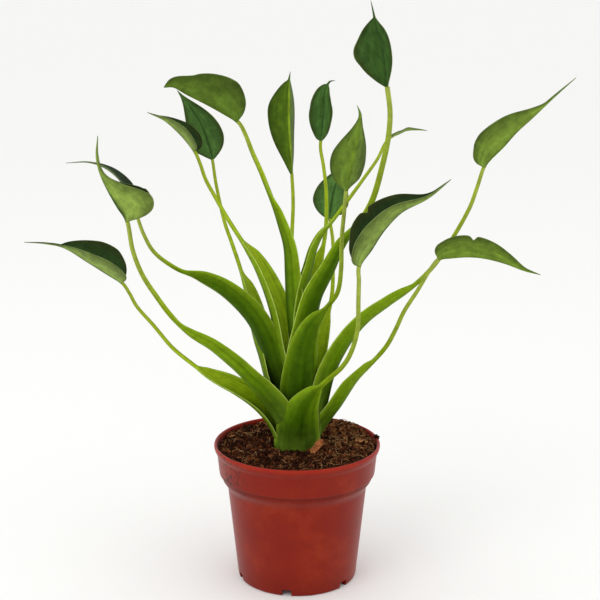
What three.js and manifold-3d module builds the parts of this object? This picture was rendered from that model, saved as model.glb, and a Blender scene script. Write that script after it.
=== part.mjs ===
// Potted tiny dancer alocasia: a moulded nursery pot filled with potting mix, and one plant of fifteen
// leaves that grow from a rootstock in the mix. Each leaf is a fleshy sheath that runs up into a thin
// round petiole, and a cupped blade drawn out in a drip tip.
// Millimetres, +Z up. The origin is on the ground, in the middle of the pot's foot.
import * as THREE from "three";
import { mergeVertices } from "three/addons/utils/BufferGeometryUtils.js";
import Module from "manifold-3d";

const wasm = await Module();
wasm.setup();

// Driving dimensions of the pot
const RIM_RADIUS = 60;
const POT_HEIGHT = 101;
const FOOT_RADIUS = 43.2;
const WALL = 1.3;
const COLLAR_BOTTOM = 79.2;
const COLLAR_RADIUS = 56.3;
const STEP_HEIGHT = 71;
const STEP_RADIUS = 51.4;
const SHOULDER_BOTTOM = 68.5;
const SHOULDER_RADIUS = 50.3;
const FLOOR_HEIGHT = 5;
const NOTCHES = 6;
const NOTCH_WIDTH = 7;
const NOTCH_HEIGHT = 4.9;
const FIRST_NOTCH_ANGLE = -100;
const DRAIN_HOLE_RADIUS = 4;
const DRAIN_HOLE_CIRCLE = 26;

// Driving dimensions of the mix and of what stands in it
const GAP = 0.3;
const MIX_EDGE = 96.5;
const MIX_MOUND = 3;
const CRUMB_RELIEF = 1.1;
const HOLE_RADIUS = 19;
const HOLE_BOTTOM = 66;
const SHEATH_BOTTOM = 88.3;
const CROWN_RADIUS = 18;
const RING_STEP = 2.5;
const BARK_PLACE = [14, -21, 104.3];
const BARK_LEAN = 58;

// Driving dimensions of a leaf
const KEEL_THICKNESS = 2.6;
const MARGIN_THICKNESS = 0.8;
const SPREAD_WRAP = 135;
const SHEATH_TAPER = 0.85;
const CLOSING_SHARE = 0.88;
const PETIOLE_END_SHARE = 0.78;
const BLADE_THICKNESS = 0.8;
const RIB_THICKNESS = 1.3;
const RIB_HALF_WIDTH = 1.6;
const BLADE_BASE_HALF_WIDTH = 1.4;
const DRIP_TIP_HALF_WIDTH = 1.2;
const DRIP_TIP_END_HALF_WIDTH = 0.3;

// How finely the solids are cut
const POT_SIDES = 40;
const STALK_SIDES = 10;
const SHEATH_STEPS = 9;
const PETIOLE_STEPS = 7;
const BLADE_ROWS = 12;
const BLADE_COLUMNS = 6;
const POINTS_PER_SPAN = 12;

// The leaves, from the outermost sheath to the innermost.
// faces: plan angle that the back of the sheath looks to at its foot. turn: how far it has turned at
// its top. ring: how far in it is nested. full: how far up it keeps its width.
// path: the back of the sheath, then the petiole, above the mix. rib: the midrib, base to drip tip.
// opens: the way the blade's upper face looks. fold: how far each half is raised from flat, near the
// rib. curl: how much more it is raised at the margin. tail: share of the rib that is drip tip.
// widest: share of the rest of the rib where the blade is widest. taper: how soon it narrows from there.
// wedge: from a full round base (0.5) to a wedge-shaped one (1). lobe: how far the base of each half
// reaches back past the top of the petiole.
const LEAVES = {
  a: {
    faces: -88, turn: 0, ring: 0, petioleRadius: 1.75,
    sheathWidth: 54, sheathLength: 76, full: 1.1,
    path: [[1, -19, 116], [4, -25, 132], [11, -33, 147], [21, -42, 160], [30, -50, 171],
      [36, -56, 183], [40, -63, 201], [40, -71, 223], [40, -75, 236]],
    rib: [[40, -78, 247], [47, -80, 258], [55, -82, 271], [66, -84, 283], [82, -86, 292],
      [96, -88, 304]],
    opens: [-0.69, -0.2, 0.7], halfWidth: 20, fold: 45, curl: 12,
    tail: 0.13, widest: 0.3, taper: 1.6, wedge: 0.6, lobe: 2,
  },
  d: {
    faces: 212, turn: 22, ring: 0.5, petioleRadius: 1.75,
    sheathWidth: 48, sheathLength: 150, full: 0.9,
    path: [[-12, -10, 115], [-19, -14, 131], [-32, -20, 150], [-44, -28, 166],
      [-58, -35, 181], [-73, -41, 193], [-84, -47, 206], [-93, -53, 221],
      [-101, -60, 237], [-106, -67, 255]],
    rib: [[-108, -74, 275], [-113, -77, 285], [-118, -79, 295], [-123, -80, 307],
      [-125, -80, 318], [-124, -79, 330]],
    opens: [0.88, 0.2, 0.44], halfWidth: 22, fold: 68, curl: 12,
    tail: 0.24, widest: 0.15, taper: 3.2, wedge: 0.55, lobe: 3,
  },
  o: {
    faces: 0, turn: -50, ring: 1.5, petioleRadius: 1.6,
    sheathWidth: 36, sheathLength: 106, full: 2.4,
    path: [[20, 3, 112], [31, -1, 129], [41, -10, 149], [51, -22, 165], [61, -33, 181],
      [67, -39, 195], [72, -45, 209], [80, -50, 224], [87, -54, 238]],
    rib: [[93, -57, 247], [101, -59, 249], [113, -61, 250], [124, -63, 249], [136, -65, 246],
      [147, -67, 242], [158, -68, 239]],
    opens: [0.12, 0.19, 0.98], halfWidth: 15, fold: 55, curl: 15,
    tail: 0.12, widest: 0.3, taper: 1.3, wedge: 0.5, lobe: 4,
  },
  m: {
    faces: 75, turn: 0, ring: 0.5, petioleRadius: 1.6,
    sheathWidth: 26, sheathLength: 112, full: 2.4,
    path: [[11, 19, 126], [15, 32, 153], [21, 46, 176], [26, 58, 196], [27, 70, 216],
      [27, 82, 233]],
    rib: [[25, 91, 248], [26, 91, 259], [28, 90, 270], [32, 89, 284], [35, 88, 295]],
    opens: [-0.2, -0.98, -0.05], halfWidth: 15.5, fold: 20, curl: 15,
    tail: 0.12, widest: 0.38, taper: 1.3, wedge: 0.7, lobe: 0,
  },
  e: {
    faces: 165, turn: 0, ring: 1, petioleRadius: 1.5,
    sheathWidth: 31, sheathLength: 100, full: 2.4,
    path: [[-20, 2, 116], [-32, 2, 130], [-47, 2, 141], [-64, 1, 151], [-77, 0, 161],
      [-89, -1, 172], [-101, -3, 188], [-112, -5, 202], [-117, -6, 212]],
    rib: [[-122, -7, 220], [-131, -10, 227], [-143, -14, 236], [-158, -19, 247],
      [-170, -24, 251], [-184, -29, 253]],
    opens: [0.58, -0.12, 0.8], halfWidth: 20, fold: 38, curl: 12,
    tail: 0.33, widest: 0.32, taper: 0.95, wedge: 0.5, lobe: 1.5,
  },
  n: {
    faces: -20, turn: 0, ring: 1, petioleRadius: 1.6,
    sheathWidth: 39, sheathLength: 168, full: 3,
    path: [[20, -3, 129], [26, -7, 155], [37, -10, 178], [49, -13, 194], [64, -16, 207],
      [79, -18, 219], [93, -20, 234], [105, -22, 253], [116, -23, 274], [121, -24, 289]],
    rib: [[125, -25, 303], [129, -25, 309], [137, -25, 317], [146, -24, 327],
      [156, -23, 336], [170, -21, 349], [185, -19, 362]],
    opens: [-0.68, 0.26, 0.69], halfWidth: 18, fold: 55, curl: 15,
    tail: 0.3, widest: 0.25, taper: 1.35, wedge: 0.5, lobe: 1,
  },
  b: {
    faces: -82, turn: 0, ring: 1.2, petioleRadius: 1.6,
    sheathWidth: 44, sheathLength: 136, full: 1.7,
    path: [[3, -13, 129], [3, -20, 153], [5, -28, 177], [10, -36, 196], [20, -43, 211],
      [27, -50, 223], [29, -58, 240], [29, -67, 262], [30, -76, 280]],
    rib: [[31, -87, 297], [33, -89, 309], [36, -91, 323], [38, -92, 334], [39, -92, 344],
      [37, -90, 350]],
    opens: [-0.15, 0.98, 0.14], halfWidth: 16, fold: 38, curl: 15,
    tail: 0.12, widest: 0.32, taper: 1.5, wedge: 0.6, lobe: 1,
  },
  g: {
    faces: 150, turn: 0, ring: 1.2, petioleRadius: 1.5,
    sheathWidth: 42, sheathLength: 147, full: 3,
    path: [[-15, 14, 124], [-22, 22, 147], [-28, 32, 164], [-33, 41, 182], [-37, 50, 200],
      [-43, 59, 218], [-49, 67, 234], [-55, 74, 250], [-61, 83, 275]],
    rib: [[-64, 88, 294], [-67, 88, 307], [-72, 87, 321], [-80, 85, 334], [-89, 83, 346]],
    opens: [0.06, -0.99, -0.1], halfWidth: 15.5, fold: 24, curl: 12,
    tail: 0.08, widest: 0.32, taper: 1.3, wedge: 0.85, lobe: 0,
  },
  c: {
    faces: 200, turn: 35, ring: 1.8, petioleRadius: 1.6,
    sheathWidth: 42, sheathLength: 172, full: 2,
    path: [[-11, 6, 130], [-19, 9, 152], [-25, 12, 172], [-35, 15, 191], [-52, 18, 208],
      [-70, 21, 218], [-86, 24, 223], [-102, 27, 234], [-110, 29, 247]],
    rib: [[-115, 31, 261], [-119, 33, 273], [-126, 36, 285], [-137, 39, 294],
      [-150, 42, 298], [-167, 45, 297]],
    opens: [0.53, 0, 0.84], halfWidth: 12, fold: 8, curl: 8,
    tail: 0.28, widest: 0.4, taper: 1.2, wedge: 0.5, lobe: 2,
  },
  i: {
    faces: 95, turn: 0, ring: 2, petioleRadius: 1.6,
    sheathWidth: 26, sheathLength: 130, full: 2.4,
    path: [[3, 17, 127], [1, 27, 162], [-2, 37, 190], [-4, 47, 214], [-4, 57, 238],
      [-3, 66, 264]],
    rib: [[-4, 74, 285], [-5, 76, 303], [-6, 78, 321], [-6, 79, 339], [-6, 79, 351],
      [-5, 77, 360]],
    opens: [-0.48, 0.88, -0.08], halfWidth: 17, fold: 42, curl: 12,
    tail: 0.09, widest: 0.66, taper: 0.85, wedge: 1.15, lobe: 1,
  },
  k: {
    faces: -42, turn: 0, ring: 2.2, petioleRadius: 2.1,
    sheathWidth: 36, sheathLength: 194, full: 2.4,
    path: [[7, -8, 135], [6, -12, 165], [10, -16, 192], [14, -20, 212], [23, -24, 232],
      [30, -28, 249], [37, -31, 261], [45, -34, 272], [51, -36, 285], [56, -37, 304],
      [60, -37, 324], [61, -36, 341]],
    rib: [[59, -34, 357], [58, -33, 367], [57, -32, 376], [55, -31, 386], [52, -29, 395],
      [50, -27, 404], [48, -25, 412]],
    opens: [-0.42, -0.9, -0.03], halfWidth: 23, fold: 48, curl: 14,
    tail: 0.2, widest: 0.52, taper: 1.0, wedge: 0.9, lobe: 0,
  },
  f: {
    faces: 158, turn: 0, ring: 2.6, petioleRadius: 1.6,
    sheathWidth: 44, sheathLength: 172, full: 4,
    path: [[-5, 9, 129], [-12, 17, 165], [-18, 25, 193], [-27, 33, 217], [-37, 40, 235],
      [-51, 48, 256], [-59, 53, 269], [-67, 57, 283], [-71, 60, 294]],
    rib: [[-75, 62, 303], [-81, 64, 311], [-89, 66, 319], [-98, 68, 326], [-110, 70, 331]],
    opens: [0.67, -0.08, 0.73], halfWidth: 14, fold: 31, curl: 10,
    tail: 0.18, widest: 0.3, taper: 1.2, wedge: 0.55, lobe: 2,
  },
  l: {
    faces: 60, turn: 0, ring: 3, petioleRadius: 1.5,
    sheathWidth: 32, sheathLength: 160, full: 3,
    path: [[6, 10, 129], [8, 15, 165], [9, 20, 194], [12, 25, 211], [15, 29, 226],
      [19, 32, 239], [21, 35, 255], [21, 39, 277], [19, 42, 295], [17, 44, 306]],
    rib: [[17, 45, 313], [18, 45, 322], [19, 44, 334], [19, 43, 342], [20, 42, 349],
      [23, 41, 355], [27, 40, 356]],
    opens: [-0.24, -0.97, 0], halfWidth: 12.5, fold: 40, curl: 14,
    tail: 0.14, widest: 0.5, taper: 0.6, wedge: 0.65, lobe: 0,
  },
  j: {
    faces: 2, turn: 0, ring: 3.4, petioleRadius: 1.35,
    sheathWidth: 34, sheathLength: 185, full: 4,
    path: [[3, 1, 132], [4, 2, 169], [4, 3, 194], [6, 4, 212], [10, 6, 228], [13, 7, 241],
      [18, 8, 252], [25, 9, 261], [35, 12, 274], [46, 14, 289], [56, 16, 303],
      [61, 18, 313]],
    rib: [[66, 18, 319], [71, 21, 321], [77, 24, 323], [84, 27, 323], [92, 30, 322]],
    opens: [-0.14, 0.24, 0.96], halfWidth: 6, fold: 6, curl: 5,
    tail: 0.3, widest: 0.35, taper: 1.3, wedge: 0.5, lobe: 0,
  },
  h: {
    faces: 196, turn: 0, ring: 3.8, petioleRadius: 1.75,
    sheathWidth: 44, sheathLength: 206, full: 2.4,
    path: [[1, 2, 132], [-3, 3, 169], [-6, 4, 198], [-7, 5, 223], [-8, 6, 242], [-12, 7, 258],
      [-17, 8, 274], [-24, 9, 293], [-31, 10, 309], [-36, 10, 322]],
    rib: [[-41, 11, 330], [-52, 10, 337], [-63, 9, 343], [-75, 8, 349], [-84, 7, 354],
      [-91, 6, 354]],
    opens: [0.44, 0.21, 0.87], halfWidth: 23.5, fold: 65, curl: 12,
    tail: 0.02, widest: 0.28, taper: 0.85, wedge: 0.5, lobe: 1,
  },
};

const TERRACOTTA_PLASTIC = new THREE.MeshStandardMaterial({
  color: "#8e2f23", roughness: 0.55, metalness: 0,
});
const PEAT = new THREE.MeshStandardMaterial({ color: "#3a2018", roughness: 1, metalness: 0 });
const BARK = new THREE.MeshStandardMaterial({ color: "#a8562c", roughness: 0.9, metalness: 0 });
const ROOT = new THREE.MeshStandardMaterial({ color: "#c8b48a", roughness: 0.8, metalness: 0 });
const STALK_GREEN = new THREE.MeshStandardMaterial({ color: "#5f8a12", roughness: 0.45, metalness: 0 });
const BLADE_GREEN = new THREE.MeshStandardMaterial({ color: "#3f6a22", roughness: 0.4, metalness: 0 });

const plant = new THREE.Group();

function addPiece(name, geometry, material) {
  const piece = new THREE.Mesh(geometry, material);
  piece.name = name;
  plant.add(piece);
}

function radians(degrees) {
  return THREE.MathUtils.degToRad(degrees);
}

function mix(from, to, share) {
  return THREE.MathUtils.lerp(from, to, share);
}

function ease(share) {
  return THREE.MathUtils.smoothstep(share, 0, 1);
}

function cylindrical(radius, degrees, z) {
  return new THREE.Vector3(radius * Math.cos(radians(degrees)), radius * Math.sin(radians(degrees)), z);
}

// A geometry whose triangles share their corners, as a solid that can be cut
function solidOf(geometry) {
  const bare = geometry.clone();
  bare.deleteAttribute("normal");
  bare.deleteAttribute("uv");
  const merged = mergeVertices(bare, 1e-4);
  return new wasm.Manifold(new wasm.Mesh({
    numProp: 3,
    vertProperties: new Float32Array(merged.attributes.position.array),
    triVerts: new Uint32Array(merged.index.array),
  }));
}

function geometryOf(solid) {
  const mesh = solid.getMesh();
  const geometry = new THREE.BufferGeometry();
  geometry.setAttribute("position", new THREE.BufferAttribute(mesh.vertProperties.slice(), 3));
  geometry.setIndex(new THREE.BufferAttribute(mesh.triVerts.slice(), 1));
  geometry.computeVertexNormals();
  return geometry;
}

// A closed skin over rings of points, with a flat lid on the first ring and on the last
function skin(rings) {
  const sides = rings[0].length;
  const positions = rings.flat().flatMap((point) => point.toArray());
  const triangles = [];
  for (let ring = 0; ring < rings.length - 1; ring += 1) {
    for (let side = 0; side < sides; side += 1) {
      const here = ring * sides + side;
      const beside = ring * sides + (side + 1) % sides;
      triangles.push(here, beside, beside + sides, here, beside + sides, here + sides);
    }
  }
  const last = (rings.length - 1) * sides;
  for (let side = 0; side < sides / 2 - 1; side += 1) {
    const opposite = sides - 1 - side;
    triangles.push(side, opposite, side + 1, side + 1, opposite, opposite - 1);
    triangles.push(last + side, last + side + 1, last + opposite);
    triangles.push(last + side + 1, last + opposite - 1, last + opposite);
  }
  const geometry = new THREE.BufferGeometry();
  geometry.setAttribute("position", new THREE.Float32BufferAttribute(positions, 3));
  geometry.setIndex(triangles);
  geometry.computeVertexNormals();
  return geometry;
}

// The pot: one wall turned round the axis, with notches through the foot ring and holes in the floor
function potProfile() {
  const lipBottom = POT_HEIGHT - 6;
  const outer = [
    [0, FLOOR_HEIGHT], [FOOT_RADIUS - 4, FLOOR_HEIGHT], [FOOT_RADIUS - 3.4, 0], [FOOT_RADIUS - 0.8, 0],
    [FOOT_RADIUS, 1], [SHOULDER_RADIUS, SHOULDER_BOTTOM], [STEP_RADIUS, STEP_HEIGHT],
    [STEP_RADIUS + 3.2, STEP_HEIGHT + 4], [COLLAR_RADIUS, COLLAR_BOTTOM],
    [RIM_RADIUS - 2.2, lipBottom - 1], [RIM_RADIUS - 0.7, lipBottom + 1.5], [RIM_RADIUS, POT_HEIGHT - 2],
    [RIM_RADIUS - 0.3, POT_HEIGHT - 0.5], [RIM_RADIUS - 1, POT_HEIGHT],
  ];
  const inner = [
    [RIM_RADIUS - 2.1, POT_HEIGHT - 0.7], [RIM_RADIUS - 2.8, lipBottom - 1],
    [COLLAR_RADIUS - WALL, COLLAR_BOTTOM + 2], [STEP_RADIUS - WALL, STEP_HEIGHT + 0.5],
    [SHOULDER_RADIUS - WALL, SHOULDER_BOTTOM], [FOOT_RADIUS - WALL + 0.4, FLOOR_HEIGHT + WALL],
    [0, FLOOR_HEIGHT + WALL],
  ];
  return [...outer, ...inner].map(([radius, z]) => new THREE.Vector2(radius, z));
}

function notchBox(degrees) {
  const box = new THREE.BoxGeometry(10, NOTCH_WIDTH, NOTCH_HEIGHT + 1);
  box.translate(FOOT_RADIUS - 1, 0, (NOTCH_HEIGHT - 1) / 2);
  box.rotateZ(radians(degrees));
  return box;
}

function drainHole(degrees) {
  const hole = new THREE.CylinderGeometry(DRAIN_HOLE_RADIUS, DRAIN_HOLE_RADIUS, 4 * WALL, 10);
  hole.rotateX(Math.PI / 2);
  const place = cylindrical(DRAIN_HOLE_CIRCLE, degrees, FLOOR_HEIGHT + WALL / 2);
  return hole.translate(place.x, place.y, place.z);
}

function potGeometry() {
  const wall = new THREE.LatheGeometry(potProfile(), POT_SIDES).rotateX(Math.PI / 2);
  let pot = solidOf(wall);
  for (let notch = 0; notch < NOTCHES; notch += 1) {
    const angle = FIRST_NOTCH_ANGLE + notch * 360 / NOTCHES;
    pot = pot.subtract(solidOf(notchBox(angle)));
    pot = pot.subtract(solidOf(drainHole(angle)));
  }
  return geometryOf(pot);
}

// The mix: fills the pot, rises a little to the crown, and has crumbs on its face and a plain hole
function crumbs(x, y) {
  const along = Math.sin(0.31 * x + 1.3 * Math.sin(0.17 * y));
  const over = Math.cos(0.29 * y - 0.8 * Math.sin(0.21 * x));
  const fine = Math.sin(0.9 * x + 2.1) * Math.sin(0.83 * y + 0.6 * x);
  return CRUMB_RELIEF * (0.7 * along * over + 0.5 * fine);
}

function mixTop(radius) {
  return MIX_EDGE + MIX_MOUND * (1 - (radius / RIM_RADIUS) ** 2);
}

function potInside(z) {
  const inside = potProfile().slice(-7, -1).reverse();
  const above = inside.findIndex((point) => point.y >= z);
  const low = inside[above - 1];
  const high = inside[above];
  return mix(low.x, high.x, (z - low.y) / (high.y - low.y)) - GAP;
}

function mixGeometry() {
  const bottom = FLOOR_HEIGHT + WALL + GAP;
  const topRadius = potInside(MIX_EDGE - 1);
  const profile = [[0, bottom], [potInside(bottom + 0.1), bottom]];
  for (const z of [SHOULDER_BOTTOM, STEP_HEIGHT + 0.5, COLLAR_BOTTOM + 2]) {
    profile.push([potInside(z), z]);
  }
  const bands = 7;
  for (let band = 0; band <= bands; band += 1) {
    const radius = mix(topRadius, HOLE_RADIUS, band / bands);
    profile.push([radius, mixTop(radius) - (band === 0 ? 1.5 : 0)]);
  }
  profile.push([HOLE_RADIUS, HOLE_BOTTOM], [0, HOLE_BOTTOM]);
  const points = profile.map(([radius, z]) => new THREE.Vector2(radius, z));
  const geometry = new THREE.LatheGeometry(points, POT_SIDES).rotateX(Math.PI / 2);
  const place = geometry.attributes.position;
  for (let index = 0; index < place.count; index += 1) {
    const x = place.getX(index);
    const y = place.getY(index);
    const z = place.getZ(index);
    const radius = Math.hypot(x, y);
    if (z > MIX_EDGE - 1 && radius < topRadius - 1) {
      place.setZ(index, z + crumbs(x, y));
    }
  }
  return geometryOf(solidOf(geometry));
}

// The rootstock: a squat corm under the sheaths, in the hole of the mix
function rootstockGeometry() {
  const top = SHEATH_BOTTOM - GAP;
  const bottom = HOLE_BOTTOM + GAP;
  const profile = [[0, bottom], [8, bottom + 1], [14, 73], [16, 80], [15.5, 85], [13, top], [0, top]];
  const points = profile.map(([radius, z]) => new THREE.Vector2(radius, z));
  return new THREE.LatheGeometry(points, 20).rotateX(Math.PI / 2);
}

// A chip of bark: a thick flake with broken edges, standing on the mix and leaning on the crown
function barkGeometry() {
  const corners = [[-4.6, -3.6], [-1, -4.4], [3.8, -3.2], [4.8, 0.6], [1.8, 4.2], [-2.4, 3.4], [-5, 0.4]];
  const outline = new THREE.Shape(corners.map(([x, y]) => new THREE.Vector2(x, y)));
  const chip = new THREE.ExtrudeGeometry(outline, {
    depth: 1.4, bevelEnabled: true, bevelThickness: 0.6, bevelSize: 0.6, bevelSegments: 1,
  });
  chip.rotateX(radians(BARK_LEAN));
  chip.rotateZ(radians(20));
  chip.translate(...BARK_PLACE);
  return geometryOf(solidOf(chip));
}

// One smooth line per leaf: from the rootstock up the back of the sheath, the petiole and the midrib
function leafLine(leaf) {
  const foot = CROWN_RADIUS - RING_STEP * leaf.ring - KEEL_THICKNESS / 2;
  const points = [
    cylindrical(foot, leaf.faces, SHEATH_BOTTOM),
    cylindrical(foot, leaf.faces, SHEATH_BOTTOM + 12),
    ...leaf.path.map((point) => new THREE.Vector3(...point)),
  ];
  const bladeStart = points.length;
  points.push(...leaf.rib.map((point) => new THREE.Vector3(...point)));
  const curve = new THREE.CatmullRomCurve3(points, false, "catmullrom", 0.5);
  curve.arcLengthDivisions = POINTS_PER_SPAN * (points.length - 1);
  const lengths = curve.getLengths();
  return { curve, length: curve.getLength(), stalkLength: lengths[bladeStart * POINTS_PER_SPAN] };
}

function frameAt(line, distance, sideways) {
  const share = THREE.MathUtils.clamp(distance / line.length, 0, 1);
  const place = line.curve.getPointAt(share);
  const along = line.curve.getTangentAt(share);
  const normal = sideways.clone().addScaledVector(along, -sideways.dot(along)).normalize();
  const side = new THREE.Vector3().crossVectors(along, normal);
  return { place, along, normal, side };
}

// How wide the sheath is, measured round its back, at a share of its length
function sheathArc(leaf, share) {
  return mix(2 * leaf.petioleRadius, leaf.sheathWidth, (1 - share ** leaf.full) ** SHEATH_TAPER);
}

// The section of a stalk: a crescent with thin margins in the sheath, a circle in the petiole
function stalkSection(leaf, line, distance, grow) {
  const half = STALK_SIDES / 2;
  const share = THREE.MathUtils.clamp(distance / leaf.sheathLength, 0, 1);
  const frame = frameAt(line, distance, cylindrical(1, leaf.faces + leaf.turn * share, 0));
  const petioleLength = line.stalkLength - leaf.sheathLength;
  const climb = THREE.MathUtils.clamp((distance - leaf.sheathLength) / petioleLength, 0, 1);
  const petiole = leaf.petioleRadius * mix(1, PETIOLE_END_SHARE, climb) + grow;
  const footWrap = leaf.sheathWidth / (CROWN_RADIUS - RING_STEP * leaf.ring);
  const wrap = mix(footWrap, radians(SPREAD_WRAP), ease(Math.min(share * 2, 1)));
  const radius = sheathArc(leaf, share) / wrap;
  const round = ease(THREE.MathUtils.clamp((share - CLOSING_SHARE) / (1 - CLOSING_SHARE), 0, 1));
  const keel = mix(KEEL_THICKNESS, 2 * leaf.petioleRadius, share);
  const section = [];
  for (let corner = 0; corner < STALK_SIDES; corner += 1) {
    const outside = corner < half;
    const step = outside ? corner : STALK_SIDES - 1 - corner;
    const across = 2 * step / (half - 1) - 1;
    const thickness = mix(keel, MARGIN_THICKNESS, across ** 2);
    const reach = outside ? radius + grow : Math.max(radius - thickness - grow, 0.2);
    const angle = across * (wrap / 2 + grow / radius);
    const crescentNormal = reach * Math.cos(angle) - radius + KEEL_THICKNESS / 2;
    const crescentSide = reach * Math.sin(angle);
    const roundAngle = (corner + 0.5) / STALK_SIDES * 2 * Math.PI - Math.PI / 2;
    const towardNormal = mix(crescentNormal, petiole * Math.cos(roundAngle), round);
    const towardSide = mix(crescentSide, petiole * Math.sin(roundAngle), round);
    section.push(frame.place.clone()
      .addScaledVector(frame.normal, towardNormal)
      .addScaledVector(frame.side, towardSide));
  }
  return section;
}

function stalkGeometry(leaf, line, grow) {
  const sections = [];
  for (let step = 0; step <= SHEATH_STEPS; step += 1) {
    const distance = leaf.sheathLength * step / SHEATH_STEPS;
    sections.push(stalkSection(leaf, line, step === 0 ? -grow : distance, grow));
  }
  const end = line.stalkLength - GAP;
  for (let step = 1; step <= PETIOLE_STEPS; step += 1) {
    sections.push(stalkSection(leaf, line, mix(leaf.sheathLength, end, step / PETIOLE_STEPS), grow));
  }
  return skin(sections);
}

// Half the width of a blade at a share of its length: a round base, an egg shape, and the drip tip
function bladeHalfWidth(leaf, share) {
  const tipStart = 1 - leaf.tail;
  const body = Math.min(share / tipStart, 1);
  const fall = Math.max((body - leaf.widest) / (1 - leaf.widest), 0);
  const egg = body < leaf.widest
    ? Math.sin(Math.PI / 2 * body / leaf.widest) ** leaf.wedge
    : Math.cos(Math.PI / 2 * fall) ** leaf.taper;
  const narrow = share < tipStart
    ? mix(BLADE_BASE_HALF_WIDTH, DRIP_TIP_HALF_WIDTH, body)
    : mix(DRIP_TIP_HALF_WIDTH, DRIP_TIP_END_HALF_WIDTH, (share - tipStart) / leaf.tail);
  return mix(narrow, leaf.halfWidth, egg);
}

// A spot of the blade's middle sheet, and the way its upper face looks there: share runs along the rib,
// across from margin to margin. Near the rib the two halves look the same way.
function bladeSpot(leaf, line, share, across) {
  const length = line.length - line.stalkLength;
  const lobe = leaf.lobe * across ** 2 * Math.max(1 - share / leaf.widest, 0) * Math.min(share / 0.06, 1);
  const distance = line.stalkLength + share * length;
  const frame = frameAt(line, distance, new THREE.Vector3(...leaf.opens));
  const reach = Math.abs(across) * bladeHalfWidth(leaf, share);
  const rise = radians(leaf.fold) + radians(leaf.curl) * Math.abs(across) / 2;
  const out = frame.side.clone().multiplyScalar(-Math.sign(across));
  const place = frame.place.clone()
    .addScaledVector(out, reach * Math.cos(rise))
    .addScaledVector(frame.normal, reach * Math.sin(rise))
    .addScaledVector(frame.along, -lobe);
  const nearRib = Math.exp(-((reach / RIB_HALF_WIDTH) ** 2));
  const facing = frame.normal.clone()
    .multiplyScalar(mix(Math.cos(rise), 1, nearRib))
    .addScaledVector(out, -Math.sin(rise) * (1 - nearRib))
    .normalize();
  return { place, facing };
}

// A blade: the same grid on its upper and its lower face, closed round the margin
function bladeGeometry(leaf, line) {
  const rings = [];
  for (let row = 0; row <= BLADE_ROWS; row += 1) {
    const share = (row / BLADE_ROWS) ** 1.5;
    const upper = [];
    const lower = [];
    for (let column = 0; column <= BLADE_COLUMNS; column += 1) {
      const across = 1 - 2 * column / BLADE_COLUMNS;
      const { place, facing } = bladeSpot(leaf, line, share, across);
      const thickness = mix(RIB_THICKNESS, BLADE_THICKNESS, Math.min(Math.abs(across) * 2 + share, 1));
      upper.push(place.clone().addScaledVector(facing, thickness / 2));
      lower.unshift(place.clone().addScaledVector(facing, -thickness / 2));
    }
    rings.push([...upper, ...lower]);
  }
  return skin(rings);
}

// The largest body of a solid, without the scraps that a cut leaves
function mainBody(solid) {
  const bodies = solid.decompose();
  return bodies.reduce((best, body) => (body.volume() > best.volume() ? body : best));
}

addPiece("pot", potGeometry(), TERRACOTTA_PLASTIC);
addPiece("potting_mix", mixGeometry(), PEAT);
addPiece("rootstock", rootstockGeometry(), ROOT);
addPiece("bark_chip", barkGeometry(), BARK);

// Each sheath is cut clear of those that wrap it
const outerSheaths = [];
for (const [letter, leaf] of Object.entries(LEAVES)) {
  const line = leafLine(leaf);
  let stalk = solidOf(stalkGeometry(leaf, line, 0));
  for (const outer of outerSheaths) {
    stalk = stalk.subtract(outer);
  }
  outerSheaths.push(solidOf(stalkGeometry(leaf, line, GAP)));
  addPiece(`leaf_${letter}_stalk`, geometryOf(mainBody(stalk)), STALK_GREEN);
  addPiece(`leaf_${letter}_blade`, bladeGeometry(leaf, line), BLADE_GREEN);
}

export default plant;
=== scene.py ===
"""Tiny dancer alocasia in a terracotta-coloured nursery pot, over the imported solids. Metres, +Z up."""
import math
import random
from functools import lru_cache

import bmesh
import bpy
from mathutils import Matrix, Vector, noise
from mathutils.geometry import interpolate_bezier


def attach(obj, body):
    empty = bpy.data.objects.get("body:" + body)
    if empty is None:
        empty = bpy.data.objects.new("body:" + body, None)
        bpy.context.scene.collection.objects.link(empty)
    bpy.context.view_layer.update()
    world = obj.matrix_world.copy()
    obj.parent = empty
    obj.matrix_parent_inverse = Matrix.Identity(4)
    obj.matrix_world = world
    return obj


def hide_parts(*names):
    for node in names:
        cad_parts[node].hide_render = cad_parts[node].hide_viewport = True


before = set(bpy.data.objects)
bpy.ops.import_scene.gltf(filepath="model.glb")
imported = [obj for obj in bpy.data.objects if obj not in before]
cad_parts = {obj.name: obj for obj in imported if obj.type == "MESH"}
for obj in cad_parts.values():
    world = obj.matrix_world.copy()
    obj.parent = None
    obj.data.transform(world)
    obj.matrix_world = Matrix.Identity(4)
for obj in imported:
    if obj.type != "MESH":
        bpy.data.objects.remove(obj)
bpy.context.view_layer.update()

# The nursery pot
# Real piece: a thin-walled grower's pot, injection moulded in one shot of terracotta-coloured
# polypropylene. A deep collar with a rolled lip stiffens the mouth, a stepped shoulder lets the pots
# stack, and the ring of the foot has notches that let water out.
MM = 0.001
POT_SIDES = 128
RIM_RADIUS = 60 * MM
POT_HEIGHT = 101 * MM
FOOT_RADIUS = 43.2 * MM
POT_WALL = 1.3 * MM
COLLAR_BOTTOM = 79.2 * MM
COLLAR_RADIUS = 56.3 * MM
STEP_HEIGHT = 71 * MM
STEP_RADIUS = 51.4 * MM
SHOULDER_BOTTOM = 68.5 * MM
SHOULDER_RADIUS = 50.3 * MM
POT_FLOOR = 5 * MM
CORNER_CUT = 0.5 * MM
MOST_CUT_SHARE = 0.25
NOTCHES = 6
NOTCH_WIDTH = 7 * MM
NOTCH_HEIGHT = 4.9 * MM
NOTCH_DEPTH = 10 * MM
FIRST_NOTCH_ANGLE = math.radians(-100)
DRAIN_HOLE_RADIUS = 4 * MM
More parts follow.
